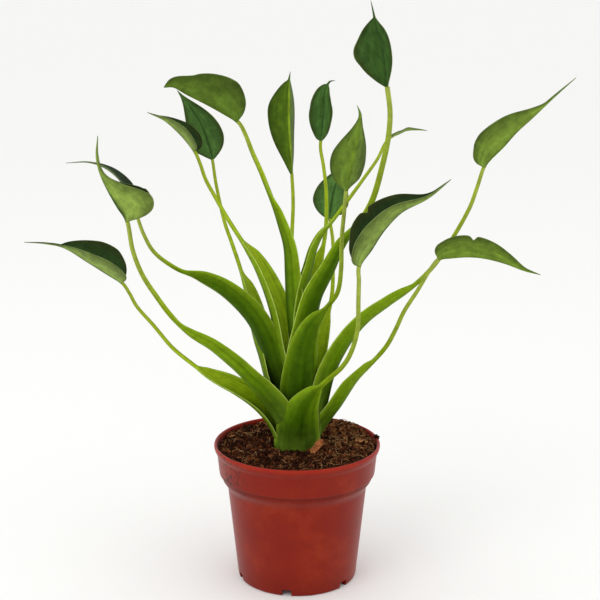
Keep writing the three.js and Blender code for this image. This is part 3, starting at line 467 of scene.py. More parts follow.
# The leaves
# Real pieces: fifteen leaves, in the order they wrap one another: each a fleshy sheath, a round petiole
# and a cupped blade with a long drip tip. A row has millimetres, degrees and shares, and leaves out
# what is nought. Its path runs up the sheath and petiole, and its rib up the midrib.
SHEATH_BOTTOM = 88.3 * MM
SHEATH_RISE = 12 * MM
CROWN_RADIUS = 18 * MM
RING_STEP = 2.5 * MM
KEEL_THICKNESS = 2.6 * MM
POINTS_PER_SPAN = 20
HEADING_STEP = 1.5 * MM
LEAVES = {
    "a": dict(
        faces=-88, ring=0, petiole_radius=1.75, sheath_width=54,
        sheath_length=76, full=1.1, opens=(-0.69, -0.2, 0.7), half_width=20,
        fold=45, curl=12, tail=0.13, widest=0.3, taper=1.6, wedge=0.6, lobe=2,
        upper_light=0.1, under_light=0.8, stalk_light=0.25,
        crumple=2.6, tear=(1, 0.36, 0.16),
        path=[(1, -19, 116), (4, -25, 132), (11, -33, 147), (21, -42, 160), (30, -50, 171), (36, -56, 183),
              (40, -63, 201), (40, -71, 223), (40, -75, 236)],
        rib=[(40, -78, 247), (47, -80, 258), (55, -82, 271), (66, -84, 283), (82, -86, 292),
              (96, -88, 304)]),
    "d": dict(
        faces=212, turn=22, ring=0.5, petiole_radius=1.75, sheath_width=48,
        sheath_length=150, full=0.9, opens=(0.88, 0.2, 0.44), half_width=22,
        fold=68, curl=12, tail=0.24, widest=0.15, taper=3.2, wedge=0.55, lobe=3,
        upper_light=0.1, under_light=0.9, stalk_light=1,
        path=[(-12, -10, 115), (-19, -14, 131), (-32, -20, 150), (-44, -28, 166), (-58, -35, 181),
              (-73, -41, 193), (-84, -47, 206), (-93, -53, 221), (-101, -60, 237), (-106, -67, 255)],
        rib=[(-108, -74, 275), (-113, -77, 285), (-118, -79, 295), (-123, -80, 307), (-125, -80, 318),
              (-124, -79, 330)]),
    "o": dict(
        faces=0, turn=-50, ring=1.5, petiole_radius=1.6, sheath_width=36,
        sheath_length=106, full=2.4, opens=(0.12, 0.19, 0.98), half_width=15,
        fold=55, curl=15, tail=0.12, widest=0.3, taper=1.3, wedge=0.5, lobe=4,
        upper_light=0.3, under_light=0.5, under_yellow=0.45, stalk_light=1,
        tear=(0, 0.33, 0.22),
        path=[(20, 3, 112), (31, -1, 129), (41, -10, 149), (51, -22, 165), (61, -33, 181), (67, -39, 195),
              (72, -45, 209), (80, -50, 224), (87, -54, 238)],
        rib=[(93, -57, 247), (101, -59, 249), (113, -61, 250), (124, -63, 249), (136, -65, 246),
              (147, -67, 242), (158, -68, 239)]),
    "m": dict(
        faces=75, ring=0.5, petiole_radius=1.6, sheath_width=26,
        sheath_length=112, full=2.4, opens=(-0.2, -0.98, -0.05), half_width=15.5,
        fold=20, curl=15, tail=0.12, widest=0.38, taper=1.3, wedge=0.7,
        upper_light=1, under_light=0.5, stalk_light=0.3,
        path=[(11, 19, 126), (15, 32, 153), (21, 46, 176), (26, 58, 196), (27, 70, 216), (27, 82, 233)],
        rib=[(25, 91, 248), (26, 91, 259), (28, 90, 270), (32, 89, 284), (35, 88, 295)]),
    "e": dict(
        faces=165, ring=1, petiole_radius=1.5, sheath_width=31,
        sheath_length=100, full=2.4, opens=(0.58, -0.12, 0.8), half_width=20,
        fold=38, curl=12, tail=0.33, widest=0.32, taper=0.95, wedge=0.5, lobe=1.5,
        upper_light=0.2, under_light=0.85, stalk_light=0.7,
        path=[(-20, 2, 116), (-32, 2, 130), (-47, 2, 141), (-64, 1, 151), (-77, 0, 161), (-89, -1, 172),
              (-101, -3, 188), (-112, -5, 202), (-117, -6, 212)],
        rib=[(-122, -7, 220), (-131, -10, 227), (-143, -14, 236), (-158, -19, 247), (-170, -24, 251),
              (-184, -29, 253)]),
    "n": dict(
        faces=-20, ring=1, petiole_radius=1.6, sheath_width=39,
        sheath_length=168, full=3, opens=(-0.68, 0.26, 0.69), half_width=18,
        fold=55, curl=15, tail=0.3, widest=0.25, taper=1.35, wedge=0.5, lobe=1,
        upper_light=0.2, under_light=0.56, under_yellow=0.3, stalk_light=0.8,
        path=[(20, -3, 129), (26, -7, 155), (37, -10, 178), (49, -13, 194), (64, -16, 207), (79, -18, 219),
              (93, -20, 234), (105, -22, 253), (116, -23, 274), (121, -24, 289)],
        rib=[(125, -25, 303), (129, -25, 309), (137, -25, 317), (146, -24, 327), (156, -23, 336),
              (170, -21, 349), (185, -19, 362)]),
    "b": dict(
        faces=-82, ring=1.2, petiole_radius=1.6, sheath_width=44,
        sheath_length=136, full=1.7, opens=(-0.15, 0.98, 0.14), half_width=16,
        fold=38, curl=15, tail=0.12, widest=0.32, taper=1.5, wedge=0.6, lobe=1,
        upper_light=0.3, under_light=0.3, under_yellow=0.4, stalk_light=0,
        path=[(3, -13, 129), (3, -20, 153), (5, -28, 177), (10, -36, 196), (20, -43, 211), (27, -50, 223),
              (29, -58, 240), (29, -67, 262), (30, -76, 280)],
        rib=[(31, -87, 297), (33, -89, 309), (36, -91, 323), (38, -92, 334), (39, -92, 344),
              (37, -90, 350)]),
    "g": dict(
        faces=150, ring=1.2, petiole_radius=1.5, sheath_width=42,
        sheath_length=147, full=3, opens=(0.06, -0.99, -0.1), half_width=15.5,
        fold=24, curl=12, tail=0.08, widest=0.32, taper=1.3, wedge=0.85,
        upper_light=0.72, under_light=0.4, stalk_light=0.3,
        path=[(-15, 14, 124), (-22, 22, 147), (-28, 32, 164), (-33, 41, 182), (-37, 50, 200),
              (-43, 59, 218), (-49, 67, 234), (-55, 74, 250), (-61, 83, 275)],
        rib=[(-64, 88, 294), (-67, 88, 307), (-72, 87, 321), (-80, 85, 334), (-89, 83, 346)]),
    "c": dict(
        faces=200, turn=35, ring=1.8, petiole_radius=1.6, sheath_width=42,
        sheath_length=172, full=2, opens=(0.53, 0, 0.84), half_width=12,
        fold=8, curl=8, tail=0.28, widest=0.4, taper=1.2, wedge=0.5, lobe=2,
        upper_light=0, under_light=0.15, stalk_light=0.1,
        path=[(-11, 6, 130), (-19, 9, 152), (-25, 12, 172), (-35, 15, 191), (-52, 18, 208), (-70, 21, 218),
              (-86, 24, 223), (-102, 27, 234), (-110, 29, 247)],
        rib=[(-115, 31, 261), (-119, 33, 273), (-126, 36, 285), (-137, 39, 294), (-150, 42, 298),
              (-167, 45, 297)]),
    "i": dict(
        faces=95, ring=2, petiole_radius=1.6, sheath_width=26,
        sheath_length=130, full=2.4, opens=(-0.48, 0.88, -0.08), half_width=17,
        fold=42, curl=12, tail=0.09, widest=0.66, taper=0.85, wedge=1.15, lobe=1,
        upper_light=0.4, under_light=0, under_yellow=1, stalk_light=0.3,
        path=[(3, 17, 127), (1, 27, 162), (-2, 37, 190), (-4, 47, 214), (-4, 57, 238), (-3, 66, 264)],
        rib=[(-4, 74, 285), (-5, 76, 303), (-6, 78, 321), (-6, 79, 339), (-6, 79, 351), (-5, 77, 360)]),
    "k": dict(
        faces=-42, ring=2.2, petiole_radius=2.1, sheath_width=36,
        sheath_length=194, full=2.4, opens=(-0.42, -0.9, -0.03), half_width=23,
        fold=48, curl=14, tail=0.2, widest=0.52, taper=1, wedge=0.9,
        upper_light=0.66, under_light=0.7, stalk_light=0,
        path=[(7, -8, 135), (6, -12, 165), (10, -16, 192), (14, -20, 212), (23, -24, 232), (30, -28, 249),
              (37, -31, 261), (45, -34, 272), (51, -36, 285), (56, -37, 304), (60, -37, 324),
              (61, -36, 341)],
        rib=[(59, -34, 357), (58, -33, 367), (57, -32, 376), (55, -31, 386), (52, -29, 395), (50, -27, 404),
              (48, -25, 412)]),
    "f": dict(
        faces=158, ring=2.6, petiole_radius=1.6, sheath_width=44,
        sheath_length=172, full=4, opens=(0.67, -0.08, 0.73), half_width=14,
        fold=31, curl=10, tail=0.18, widest=0.3, taper=1.2, wedge=0.55, lobe=2,
        upper_light=0.1, under_light=0.75, stalk_light=0.5,
        path=[(-5, 9, 129), (-12, 17, 165), (-18, 25, 193), (-27, 33, 217), (-37, 40, 235), (-51, 48, 256),
              (-59, 53, 269), (-67, 57, 283), (-71, 60, 294)],
        rib=[(-75, 62, 303), (-81, 64, 311), (-89, 66, 319), (-98, 68, 326), (-110, 70, 331)]),
    "l": dict(
        faces=60, ring=3, petiole_radius=1.5, sheath_width=32,
        sheath_length=160, full=3, opens=(-0.24, -0.97, 0), half_width=12.5,
        fold=40, curl=14, tail=0.14, widest=0.5, taper=0.6, wedge=0.65,
        upper_light=0.78, under_light=0.7, stalk_light=0.6,
        path=[(6, 10, 129), (8, 15, 165), (9, 20, 194), (12, 25, 211), (15, 29, 226), (19, 32, 239),
              (21, 35, 255), (21, 39, 277), (19, 42, 295), (17, 44, 306)],
        rib=[(17, 45, 313), (18, 45, 322), (19, 44, 334), (19, 43, 342), (20, 42, 349), (23, 41, 355),
              (27, 40, 356)]),
    "j": dict(
        faces=2, ring=3.4, petiole_radius=1.35, sheath_width=34,
        sheath_length=185, full=4, opens=(-0.14, 0.24, 0.96), half_width=6,
        fold=6, curl=5, tail=0.3, widest=0.35, taper=1.3, wedge=0.5,
        upper_light=0.8, under_light=0.85, under_yellow=0.3, stalk_light=0.3,
        path=[(3, 1, 132), (4, 2, 169), (4, 3, 194), (6, 4, 212), (10, 6, 228), (13, 7, 241), (18, 8, 252),
              (25, 9, 261), (35, 12, 274), (46, 14, 289), (56, 16, 303), (61, 18, 313)],
        rib=[(66, 18, 319), (71, 21, 321), (77, 24, 323), (84, 27, 323), (92, 30, 322)]),
    "h": dict(
        faces=196, ring=3.8, petiole_radius=1.75, sheath_width=44,
        sheath_length=206, full=2.4, opens=(0.44, 0.21, 0.87), half_width=23.5,
        fold=65, curl=12, tail=0.02, widest=0.28, taper=0.85, wedge=0.5, lobe=1,
        upper_light=0.15, under_light=0.14, under_yellow=0.3, stalk_light=0.3,
        path=[(1, 2, 132), (-3, 3, 169), (-6, 4, 198), (-7, 5, 223), (-8, 6, 242), (-12, 7, 258),
              (-17, 8, 274), (-24, 9, 293), (-31, 10, 309), (-36, 10, 322)],
        rib=[(-41, 11, 330), (-52, 10, 337), (-63, 9, 343), (-75, 8, 349), (-84, 7, 354), (-91, 6, 354)]),
}


@lru_cache(maxsize=None)
def leaf_line(letter):
    """The smooth line of a leaf, from its foot to its drip tip, and where the blade starts on it."""
    leaf = LEAVES[letter]
    foot = CROWN_RADIUS - RING_STEP * leaf["ring"] - KEEL_THICKNESS / 2
    faces = math.radians(leaf["faces"])
    low = Vector((foot * math.cos(faces), foot * math.sin(faces), SHEATH_BOTTOM))
    points = [low, low + Vector((0, 0, SHEATH_RISE))] + [Vector(point) * MM for point in leaf["path"]]
    blade_start = len(points)
    points += [Vector(point) * MM for point in leaf["rib"]]
    before = [2 * points[0] - points[1]] + points + [2 * points[-1] - points[-2]]
    line = [points[0]]
    for i in range(1, len(points)):
        first, second = before[i], before[i + 1]
        leave = first + (second - before[i - 1]) / 6
        arrive = second - (before[i + 2] - first) / 6
        line += interpolate_bezier(first, leave, arrive, second, POINTS_PER_SPAN + 1)[1:]
    lengths = [0.0]
    for first, second in zip(line, line[1:]):
        lengths.append(lengths[-1] + (second - first).length)
    return line, lengths, lengths[blade_start * POINTS_PER_SPAN]


@lru_cache(maxsize=None)
def point_at(letter, distance):
    """The point of a leaf's line at this distance along it."""
    line, lengths, _ = leaf_line(letter)
    low, high = 0, len(lengths) - 1
    while high - low > 1:
        middle = (low + high) // 2
        if lengths[middle] <= distance:
            low = middle
        else:
            high = middle
    share = (distance - lengths[low]) / (lengths[high] - lengths[low])
    return line[low].lerp(line[high], share)


@lru_cache(maxsize=None)
def frame_at(letter, distance, sideways):
    """Where a leaf's line is, which way it runs, and the two directions across it."""
    end = leaf_line(letter)[1][-1]
    ahead = point_at(letter, min(distance + HEADING_STEP, end))
    behind = point_at(letter, max(distance - HEADING_STEP, 0.0))
    along = (ahead - behind).normalized()
    normal = Vector(sideways)
    normal = (normal - along * normal.dot(along)).normalized()
    return point_at(letter, min(max(distance, 0.0), end)), along, normal, along.cross(normal)


def smooth_share(value, low, high):
    """0 below low, 1 above high, and an even S between."""
    share = min(max((value - low) / (high - low), 0), 1)
    return share * share * (3 - 2 * share)


def wrapped_skin(around, along, place):
    """A grid rolled into a closed tube: place gives the point and the surface coordinates of a spot."""
    skin = bmesh.new()
    surface = skin.loops.layers.uv.new("surface")
    bmesh.ops.create_grid(skin, x_segments=around, y_segments=along, size=0.5, calc_uvs=True)
    spots = {corner: (corner.co.x + 0.5, corner.co.y + 0.5) for corner in skin.verts}
    placed = {corner: place(*spot) for corner, spot in spots.items()}
    for face in skin.faces:
        for loop in face.loops:
            loop[surface].uv = placed[loop.vert][1]
    for corner, (point, _) in placed.items():
        corner.co = point
    bmesh.ops.remove_doubles(skin, verts=skin.verts, dist=2 * WELD_DISTANCE)
    bmesh.ops.holes_fill(skin, edges=[edge for edge in skin.edges if edge.is_boundary], sides=0)
    bmesh.ops.recalc_face_normals(skin, faces=skin.faces)
    return skin


# The stalks
# Real pieces: sheath and petiole in one. The sheath is a wide crescent, thick at its back and drawn
# out to thin pale margins. It closes into the round petiole, whose green is lighter.
MARGIN_THICKNESS = 0.8 * MM
MARGIN_ROUNDING = 16
LEAST_REACH = 0.2 * MM
SPREAD_WRAP = math.radians(135)
SPREAD_SHARE = 0.5
SHEATH_TAPER = 0.85
CLOSING_SHARE = 0.88
CRUMPLED_SHARE = 0.5
PETIOLE_END_SHARE = 0.78
CLEARANCE = 0.15 * MM
STALK_SIDES = 40
STALK_ROWS = 150
CUTTER_ROWS = 70


def stalk_section(letter, distance, turn, grow):
    """A point of the skin of a stalk, this far up it, at a share of the way round its section."""
    leaf = LEAVES[letter]
    stalk_length = leaf_line(letter)[2]
    sheath = leaf["sheath_length"] * MM
    width = leaf["sheath_width"] * MM
    share = min(max(distance / sheath, 0), 1)
    faces = math.radians(leaf["faces"] + leaf.get("turn", 0) * share)
    place, along, normal, side = frame_at(letter, distance, (math.cos(faces), math.sin(faces), 0.0))
    climb = min(max((distance - sheath) / (stalk_length - sheath), 0), 1)
    petiole_radius = leaf["petiole_radius"] * MM
    petiole = petiole_radius * (1 + (PETIOLE_END_SHARE - 1) * climb) + grow
    foot_wrap = width / (CROWN_RADIUS - RING_STEP * leaf["ring"])
    wrap = foot_wrap + (SPREAD_WRAP - foot_wrap) * smooth_share(share, 0, SPREAD_SHARE)
    arc = 2 * petiole_radius + (width - 2 * petiole_radius) * (1 - share ** leaf["full"]) ** SHEATH_TAPER
    radius = arc / wrap
    rounding = smooth_share(share, CLOSING_SHARE, 1)
    keel = KEEL_THICKNESS + (2 * petiole_radius - KEEL_THICKNESS) * share
    across = -math.cos(math.tau * turn)
    thickness = keel + (MARGIN_THICKNESS - keel) * across ** 2
    lip = thickness / 2 * (1 - math.sqrt(max(1 - across ** MARGIN_ROUNDING, 0)))
    if turn <= 0.5:
        reach = radius + grow - lip
    else:
        reach = max(radius - thickness - grow + lip, LEAST_REACH)
    angle = across * (wrap / 2 + grow / radius)
    crumple = leaf.get("crumple", 0) * MM * across ** 2 * max(1 - share / CRUMPLED_SHARE, 0)
    reach += crumple * noise.noise(Vector((across * 2.4, distance * 130, 3)))
    to_normal = reach * math.cos(angle) - radius + KEEL_THICKNESS / 2
    to_side = reach * math.sin(angle)
    round_angle = math.tau * turn - math.pi / 2
    to_normal += (petiole * math.cos(round_angle) - to_normal) * rounding
    to_side += (petiole * math.sin(round_angle) - to_side) * rounding
    return place + normal * to_normal + side * to_side, (turn, share + climb)


def across_leaf(material, turn):
    """Where a spot is across a leaf: a wave from margin to margin, and how far out either way."""
    round_turn = add_node(material, "Math", {"operation": "MULTIPLY", 1: math.tau}, {0: turn})
    wave = add_node(material, "Math", {"operation": "COSINE"}, {0: round_turn})
    return wave, add_node(material, "Math", {"operation": "ABSOLUTE"}, {0: wave})


# Living stalk flesh: a waxy skin over watery cells, so light goes a little way in. The back is mid
# green, with painted shade low in the crown, flanks lightened by a painted glow through the thinner
# flesh, long faint stripes and mottling of about 5 mm. The inner face and the petiole are
# yellow-green, the inner face lifted by painted light, and a painted glow lies along the thin margins.
flesh, flesh_shader = new_material("sheath_and_petiole_skin", IOR=1.42, Roughness=0.5,
                                   Specular_IOR_Level=0.03, Subsurface_Weight=0.08,
                                   Subsurface_Scale=1 * MM, Subsurface_Radius=(0.6, 1.0, 0.1))
surface = add_node(flesh, "UVMap", {"uv_map": "surface"})
round_stalk, up_leaf, _ = add_node(flesh, "SeparateXYZ", {}, {"Vector": surface}).outputs
up_stalk = add_node(flesh, "MapRange", {"range": (0, 2)}, {"Value": up_leaf})
# Both ramps are darkest low in the sheaths: painted shade inside the crown.
keel_colour = add_node(flesh, "ValToRGB", {"stops": [
    (0.0, "#5c7624"), (0.07, "#526b1c"), (0.16, "#304608"), (0.25, "#2f4b03"), (0.42, "#415f05"),
    (0.56, "#6f8612"), (1.0, "#98a548")]}, {"Fac": up_stalk})
# The flank ramp is lighter than the keel's by a painted glow of light through the thinner flesh.
flank_painted_glow_colour = add_node(flesh, "ValToRGB", {"stops": [
    (0.0, "#5f7a26"), (0.07, "#587320"), (0.16, "#40590e"), (0.25, "#557407"), (0.42, "#728f14"),
    (0.53, "#7b9114"), (1.0, "#98a548")]}, {"Fac": up_stalk})
# The inner face is its own yellow-green, lifted further by painted light where it lies in shade.
inner_colour_with_painted_light = add_node(flesh, "ValToRGB", {"stops": [
    (0.0, "#5f7c0c"), (0.25, "#7c980e"), (0.45, "#90a81e"), (1.0, "#92a22c")]}, {"Fac": up_stalk})
_, way_out = across_leaf(flesh, round_stalk)
# Each stalk's light value lifts its flanks further towards the lighter green: painted light for how brightly
# that stalk is lit.
light = add_node(flesh, "Attribute", {"attribute_name": "light"}).outputs["Fac"]
flank = add_node(flesh, "Math", {"operation": "ADD"}, {0: way_out, 1: light})
flank_glow_share = add_node(flesh, "MapRange", {"range": (0.35, 1.1)}, {"Value": flank})
outer_colour = add_node(flesh, "Mix", {"data_type": "RGBA"}, {
    0: flank_glow_share, 6: keel_colour, 7: flank_painted_glow_colour})
inside = add_node(flesh, "MapRange", {"range": (0.49, 0.51)}, {"Value": round_stalk})
sides = add_node(flesh, "Mix", {"data_type": "RGBA"}, {0: inside, 6: outer_colour, 7: inner_colour_with_painted_light})
# Painted glow of light through the thin margins of the sheath.
painted_margin_glow = add_node(flesh, "MapRange", {"range": (0.7, 0.97, 0, 0.75)}, {"Value": way_out})
margin = add_node(flesh, "MapRange", {"range": (0.955, 0.98)}, {"Value": way_out})
in_sheath = add_node(flesh, "MapRange", {"range": (0.85, 1.05, 1, 0)}, {"Value": up_leaf})
edge_mask = add_node(flesh, "Math", {"operation": "MULTIPLY"}, {0: margin, 1: in_sheath})
painted_glow_mask = add_node(flesh, "Math", {"operation": "MULTIPLY"}, {0: painted_margin_glow, 1: in_sheath})
painted_glow_mixed = add_node(flesh, "Mix", {"data_type": "RGBA", 7: linear("#809c1c")}, {0: painted_glow_mask, 6: sides})
edged = add_node(flesh, "Mix", {"data_type": "RGBA", 7: linear("#a3b858")}, {0: edge_mask, 6: painted_glow_mixed})
place = add_node(flesh, "TexCoord").outputs["Object"]
mottle = add_node(flesh, "TexNoise", {"Scale": 180, "Detail": 8, "Roughness": 0.7}, {"Vector": place})
shade = add_node(flesh, "MapRange", {"range": (0.25, 0.75, 0.72, 1.28)}, {"Value": mottle})
banded = add_node(flesh, "Mapping", {"Scale": (22, 1.3, 1)}, {"Vector": surface})
stripe = add_node(flesh, "TexNoise", {"Scale": 1.0, "Detail": 3}, {"Vector": banded})
stripe_shade = add_node(flesh, "MapRange", {"range": (0.32, 0.68, 0.74, 1.3)}, {"Value": stripe})
grained = add_node(flesh, "Math", {"operation": "MULTIPLY"}, {0: stripe_shade, 1: shade})
mottled = add_node(flesh, "VectorMath", {"operation": "SCALE"}, {0: edged, "Scale": grained})
stretched = add_node(flesh, "Mapping", {"Scale": (60, 3, 1)}, {"Vector": surface})
strands_of_skin = add_node(flesh, "TexNoise", {"Scale": 1.0, "Detail": 2}, {"Vector": stretched})
skin_bump = add_node(flesh, "Bump", {"Strength": 0.25, "Distance": 0.4 * MM}, {"Height": strands_of_skin})
join(flesh, flesh_shader, {"Base Color": mottled, "Normal": skin_bump})

outer_stalks = []
for letter, leaf in LEAVES.items():
    stalk_length = leaf_line(letter)[2]

    def stalk_skin(turn, share):
        return stalk_section(letter, share * stalk_length, turn, 0)

    def grown_skin(turn, share):
        return stalk_section(letter, share * stalk_length, turn, CLEARANCE)

    grown = wrapped_skin(STALK_SIDES, STALK_ROWS, stalk_skin)
    lightness = grown.verts.layers.float.new("light")
    for corner in grown.verts:
        corner[lightness] = leaf["stalk_light"]
    stalk = finish_piece(f"stalk_{letter}", grown, flesh, [f"leaf_{letter}_stalk"])
    if outer_stalks:
        cut_away(stalk, [cutter.copy() for cutter in outer_stalks])
    outer_stalks.append(new_object("outer_stalk", wrapped_skin(STALK_SIDES // 2, CUTTER_ROWS, grown_skin)))
for cutter in outer_stalks:
    bpy.data.objects.remove(cutter)

# The blades
# Real pieces: leathery blades that stay cupped. The midrib is a ridge on the underside and a groove
# above, side veins leave it at a steep angle in low relief, and a pale line runs round the margin.
BLADE_THICKNESS = 0.8 * MM
BLADE_ROUNDING = 20
TIP_THINNING = 0.7
RIB_RIDGE = 0.9 * MM
RIB_HALF_WIDTH = 1.6 * MM
RIB_FADE = 0.75
GROOVE_DEPTH = 0.15 * MM
TEAR_WIDTH = 0.022
LOBE_START = 0.06
RIPPLE = 0.25 * MM
RIPPLE_WAVES = 17
VEINS = 7
VEIN_SLANT = -0.32
BLADE_BASE_HALF_WIDTH = 1.4 * MM
DRIP_TIP_HALF_WIDTH = 1.2 * MM
DRIP_TIP_END_HALF_WIDTH = 0.15 * MM
BLADE_SIDES = 56
BLADE_ROWS = 84
ROW_CROWDING = 1.15
BLADE_TONES = ("upper_light", "under_light", "under_yellow")


def blade_half_width(leaf, share):
    """Half the width of a blade at a share of its length."""
    tip_start = 1 - leaf["tail"]
    body = min(share / tip_start, 1)
    fall = max((body - leaf["widest"]) / (1 - leaf["widest"]), 0)
    if body < leaf["widest"]:
        egg = math.sin(math.pi / 2 * body / leaf["widest"]) ** leaf["wedge"]
    else:
        egg = max(math.cos(math.pi / 2 * fall), 0) ** leaf["taper"]
    if share < tip_start:
        narrow = BLADE_BASE_HALF_WIDTH + (DRIP_TIP_HALF_WIDTH - BLADE_BASE_HALF_WIDTH) * body
    else:
        narrow = DRIP_TIP_HALF_WIDTH + (
            DRIP_TIP_END_HALF_WIDTH - DRIP_TIP_HALF_WIDTH) * (share - tip_start) / leaf["tail"]
    return narrow + (leaf["half_width"] * MM - narrow) * egg


def blade_section(letter, share, turn):
    """A point of the skin of a blade: the upper face is the first half turn, the underside the second."""
    leaf = LEAVES[letter]
    _, lengths, stalk_length = leaf_line(letter)
    distance = stalk_length + share * (lengths[-1] - stalk_length)
    place, along, normal, side = frame_at(letter, distance, leaf["opens"])
    across = -math.cos(math.tau * turn)
    width = blade_half_width(leaf, share)
    tear_side, tear_place, tear_depth = leaf.get("tear", (0, 0, 0))
    if across * tear_side >= 0:
        width *= 1 - tear_depth * math.exp(-((share - tear_place) / TEAR_WIDTH) ** 2)
    reach = abs(across) * width
    rise = math.radians(leaf["fold"]) + math.radians(leaf["curl"]) * abs(across) / 2
    hand = 1 if across > 0 else -1
    lobe = leaf.get("lobe", 0) * MM * across ** 2
    lobe *= max(1 - share / leaf["widest"], 0) * min(share / LOBE_START, 1)
    out = -side * hand
    flat = out * math.cos(rise) + normal * math.sin(rise)
    up = normal * math.cos(rise) - out * math.sin(rise)
    groove = math.exp(-(reach / RIB_HALF_WIDTH) ** 2)
    up = (up * (1 - groove) + normal * groove).normalized()
    ripple = RIPPLE * across ** 4 * math.sin(share * RIPPLE_WAVES + hand + leaf["faces"]) * (1 - share)
    to_tip = max(1 - (1 - share) / leaf["tail"], 0)
    thickness = BLADE_THICKNESS * (1 - TIP_THINNING * to_tip)
    thickness *= math.sqrt(max(1 - across ** BLADE_ROUNDING, 0))
    if turn <= 0.5:
        lift = thickness / 2 - GROOVE_DEPTH * groove
    else:
        lift = -thickness / 2 - RIB_RIDGE * (1 - RIB_FADE * share) * groove
    return place + flat * reach + up * (lift + ripple) - along * lobe, (turn, share)


# Blade skin: a waxy cuticle with a soft sheen, dark blue-green above and lighter, greyer or yellower
# green beneath. Painted shade darkens it towards the margins and a painted sheen lightens its middle;
# broad streaks along the veins and mottling of about 6 mm are partly its own and partly painted sheen,
# the midrib beneath the greener blades is painted dark as shade, and a dry brownish rim runs above.
# The side veins show in the relief only.
skin, skin_shader = new_material("alocasia_blade_skin", IOR=1.45, Roughness=0.52,
                                 Specular_IOR_Level=0.09, Subsurface_Weight=0.04,
                                 Subsurface_Scale=1 * MM, Subsurface_Radius=(0.5, 1.0, 0.1))
surface = add_node(skin, "UVMap", {"uv_map": "surface"})
round_blade, up_blade, _ = add_node(skin, "SeparateXYZ", {}, {"Vector": surface}).outputs
# Each leaf's upper_light and under_light set its tone, partly its own and partly painted light for how
# brightly that leaf is lit.
upper_light, under_light, under_yellow = [
    add_node(skin, "Attribute", {"attribute_name": name}).outputs["Fac"] for name in BLADE_TONES]
upper_colour = add_node(skin, "Mix", {
    "data_type": "RGBA", 6: linear("#152b06"), 7: linear("#527838")}, {0: upper_light})
plain_under = add_node(skin, "Mix", {
    "data_type": "RGBA", 6: linear("#435a1a"), 7: linear("#7d9440")}, {0: under_light})
yellow_under = add_node(skin, "Mix", {
    "data_type": "RGBA", 6: linear("#46600f"), 7: linear("#76941e")}, {0: under_light})
under_colour = add_node(skin, "Mix", {"data_type": "RGBA"}, {
    0: under_yellow, 6: plain_under, 7: yellow_under})
under = add_node(skin, "MapRange", {"range": (0.495, 0.505)}, {"Value": round_blade})
faces_colour = add_node(skin, "Mix", {"data_type": "RGBA"}, {0: under, 6: upper_colour, 7: under_colour})
across_wave, way_out = across_leaf(skin, round_blade)
vein_slant = add_node(skin, "Math", {"operation": "MULTIPLY_ADD", 1: VEIN_SLANT}, {
    0: way_out, 2: up_blade})
vein_phase = add_node(skin, "Math", {"operation": "MULTIPLY", 1: math.tau * VEINS}, {0: vein_slant})
vein_wave = add_node(skin, "Math", {"operation": "COSINE"}, {0: vein_phase})
vein = add_node(skin, "MapRange", {"range": (0.6, 1)}, {"Value": vein_wave})
streak_place = add_node(skin, "CombineXYZ", {}, {"X": across_wave, "Y": vein_slant})
streak_grid = add_node(skin, "Mapping", {"Scale": (5, 3.5, 1)}, {"Vector": streak_place})
streak = add_node(skin, "TexNoise", {"Scale": 1.0, "Detail": 4}, {"Vector": streak_grid})
# On the greener undersides the midrib is painted dark, as the shade beside its ridge; on the yellower ones
# it is its own pale green.
rib = add_node(skin, "MapRange", {"range": (0.03, 0.09, 0.8, 0)}, {"Value": way_out})
under_rib = add_node(skin, "Mix", {
    "data_type": "RGBA", 6: linear("#2f4a16"), 7: linear("#86a024")}, {0: under_yellow})
rib_colour = add_node(skin, "Mix", {"data_type": "RGBA", 6: linear("#264319")}, {0: under, 7: under_rib})
ribbed = add_node(skin, "Mix", {"data_type": "RGBA"}, {0: rib, 6: faces_colour, 7: rib_colour})
dry_rim = add_node(skin, "MapRange", {"range": (0.7, 0.96, 0, 0.45)}, {"Value": way_out})
above = add_node(skin, "MapRange", {"range": (0.495, 0.505, 1, 0)}, {"Value": round_blade})
dry_above = add_node(skin, "Math", {"operation": "MULTIPLY"}, {0: dry_rim, 1: above})
browned = add_node(skin, "Mix", {"data_type": "RGBA", 7: linear("#4a4c14")}, {0: dry_above, 6: ribbed})
edge = add_node(skin, "MapRange", {"range": (0.972, 0.988, 0, 0.8)}, {"Value": way_out})
lined = add_node(skin, "Mix", {"data_type": "RGBA", 7: linear("#93a866")}, {0: edge, 6: browned})
# Painted shade darkens the blade towards its margins, and a painted sheen lightens its middle.
painted_rim_shade_and_sheen = add_node(skin, "MapRange", {"range": (0.3, 0.97, 1.12, 0.52)}, {"Value": way_out})
place = add_node(skin, "TexCoord").outputs["Object"]
mottle = add_node(skin, "TexNoise", {"Scale": 160, "Detail": 8, "Roughness": 0.7}, {"Vector": place})
# Mottling of about 6 mm, partly the skin's own tone and partly painted sheen.
cloud = add_node(skin, "MapRange", {"range": (0.32, 0.68, 0.68, 1.32)}, {"Value": mottle})
# Broad streaks along the veins, partly the skin's own and partly painted sheen and painted shade.
streaks_with_painted_sheen_and_shade = add_node(skin, "MapRange", {"range": (0.3, 0.7, 0.78, 1.24)}, {"Value": streak})
grained = add_node(skin, "Math", {"operation": "MULTIPLY"}, {0: streaks_with_painted_sheen_and_shade, 1: cloud})
shade = add_node(skin, "Math", {"operation": "MULTIPLY"}, {0: painted_rim_shade_and_sheen, 1: grained})
mottled = add_node(skin, "VectorMath", {"operation": "SCALE"}, {0: lined, "Scale": shade})
puff = add_node(skin, "Math", {"operation": "MULTIPLY_ADD", 1: 0.4}, {0: mottle, 2: vein})
blade_bump = add_node(skin, "Bump", {"Strength": 0.15, "Distance": 0.4 * MM}, {"Height": puff})
join(skin, skin_shader, {"Base Color": mottled, "Normal": blade_bump})

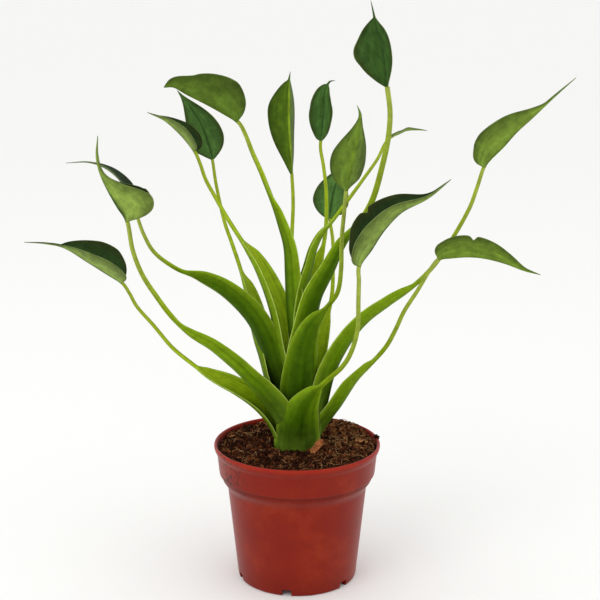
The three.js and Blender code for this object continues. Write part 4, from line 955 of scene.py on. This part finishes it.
for letter, leaf in LEAVES.items():

    def blade_skin(turn, share):
        return blade_section(letter, share ** ROW_CROWDING, turn)

    blade = wrapped_skin(BLADE_SIDES, BLADE_ROWS, blade_skin)
    for tone_name in BLADE_TONES:
        tone_layer = blade.verts.layers.float.new(tone_name)
        for corner in blade.verts:
            corner[tone_layer] = leaf.get(tone_name, 0)
    finish_piece(f"blade_{letter}", blade, skin, [f"leaf_{letter}_blade"])

# The studio
# A plain white floor and even white light, with a broad soft light from the upper left and a weaker
# one from the right, as for a catalogue photograph. The camera looks a little down on the rim.
FLOOR_RADIUS = 60
FLOOR_SIDES = 96
PLANT_MIDDLE = Vector((0, 0, 0.2))
SOFT_BOX_SIZE = 1.0
CAMERA_PLACE = Vector((2.1, -900, 420)) * MM
CAMERA_PITCH = math.radians(13.38)
SENSOR_WIDTH = 36
LENS = 78.8

floor_paint, _ = new_material("white_studio_floor", Roughness=0.9, Specular_IOR_Level=0.1,
                              Base_Color=linear("#f6f6f4"))
disc = bmesh.new()
bmesh.ops.create_circle(disc, cap_ends=True, segments=FLOOR_SIDES, radius=FLOOR_RADIUS)
new_object("studio_floor", disc, floor_paint)

world = bpy.data.worlds.new("studio")
world.use_nodes = True
world.node_tree.nodes["Background"].inputs["Color"].default_value = (1, 1, 1, 1)
world.node_tree.nodes["Background"].inputs["Strength"].default_value = 1.0
bpy.context.scene.world = world
bpy.context.scene.view_settings.view_transform = "Standard"


def soft_light(name, place, power):
    """A square soft box that looks at the middle of the plant."""
    lamp = bpy.data.lights.new(name, "AREA")
    lamp.size = SOFT_BOX_SIZE
    lamp.energy = power
    box = bpy.data.objects.new(name, lamp)
    box.location = place
    box.rotation_euler = (PLANT_MIDDLE - Vector(place)).to_track_quat("-Z", "Y").to_euler()
    bpy.context.scene.collection.objects.link(box)


soft_light("key_soft_box", (-0.9, -1.1, 1.3), 6)
soft_light("fill_soft_box", (1.2, -0.8, 0.8), 1.5)

camera = bpy.data.objects.new("camera", bpy.data.cameras.new("camera"))
camera.data.sensor_width = SENSOR_WIDTH
camera.data.lens = LENS
camera.location = CAMERA_PLACE
camera.rotation_euler = (math.pi / 2 - CAMERA_PITCH, 0, 0)
bpy.context.scene.collection.objects.link(camera)
bpy.context.scene.camera = camera
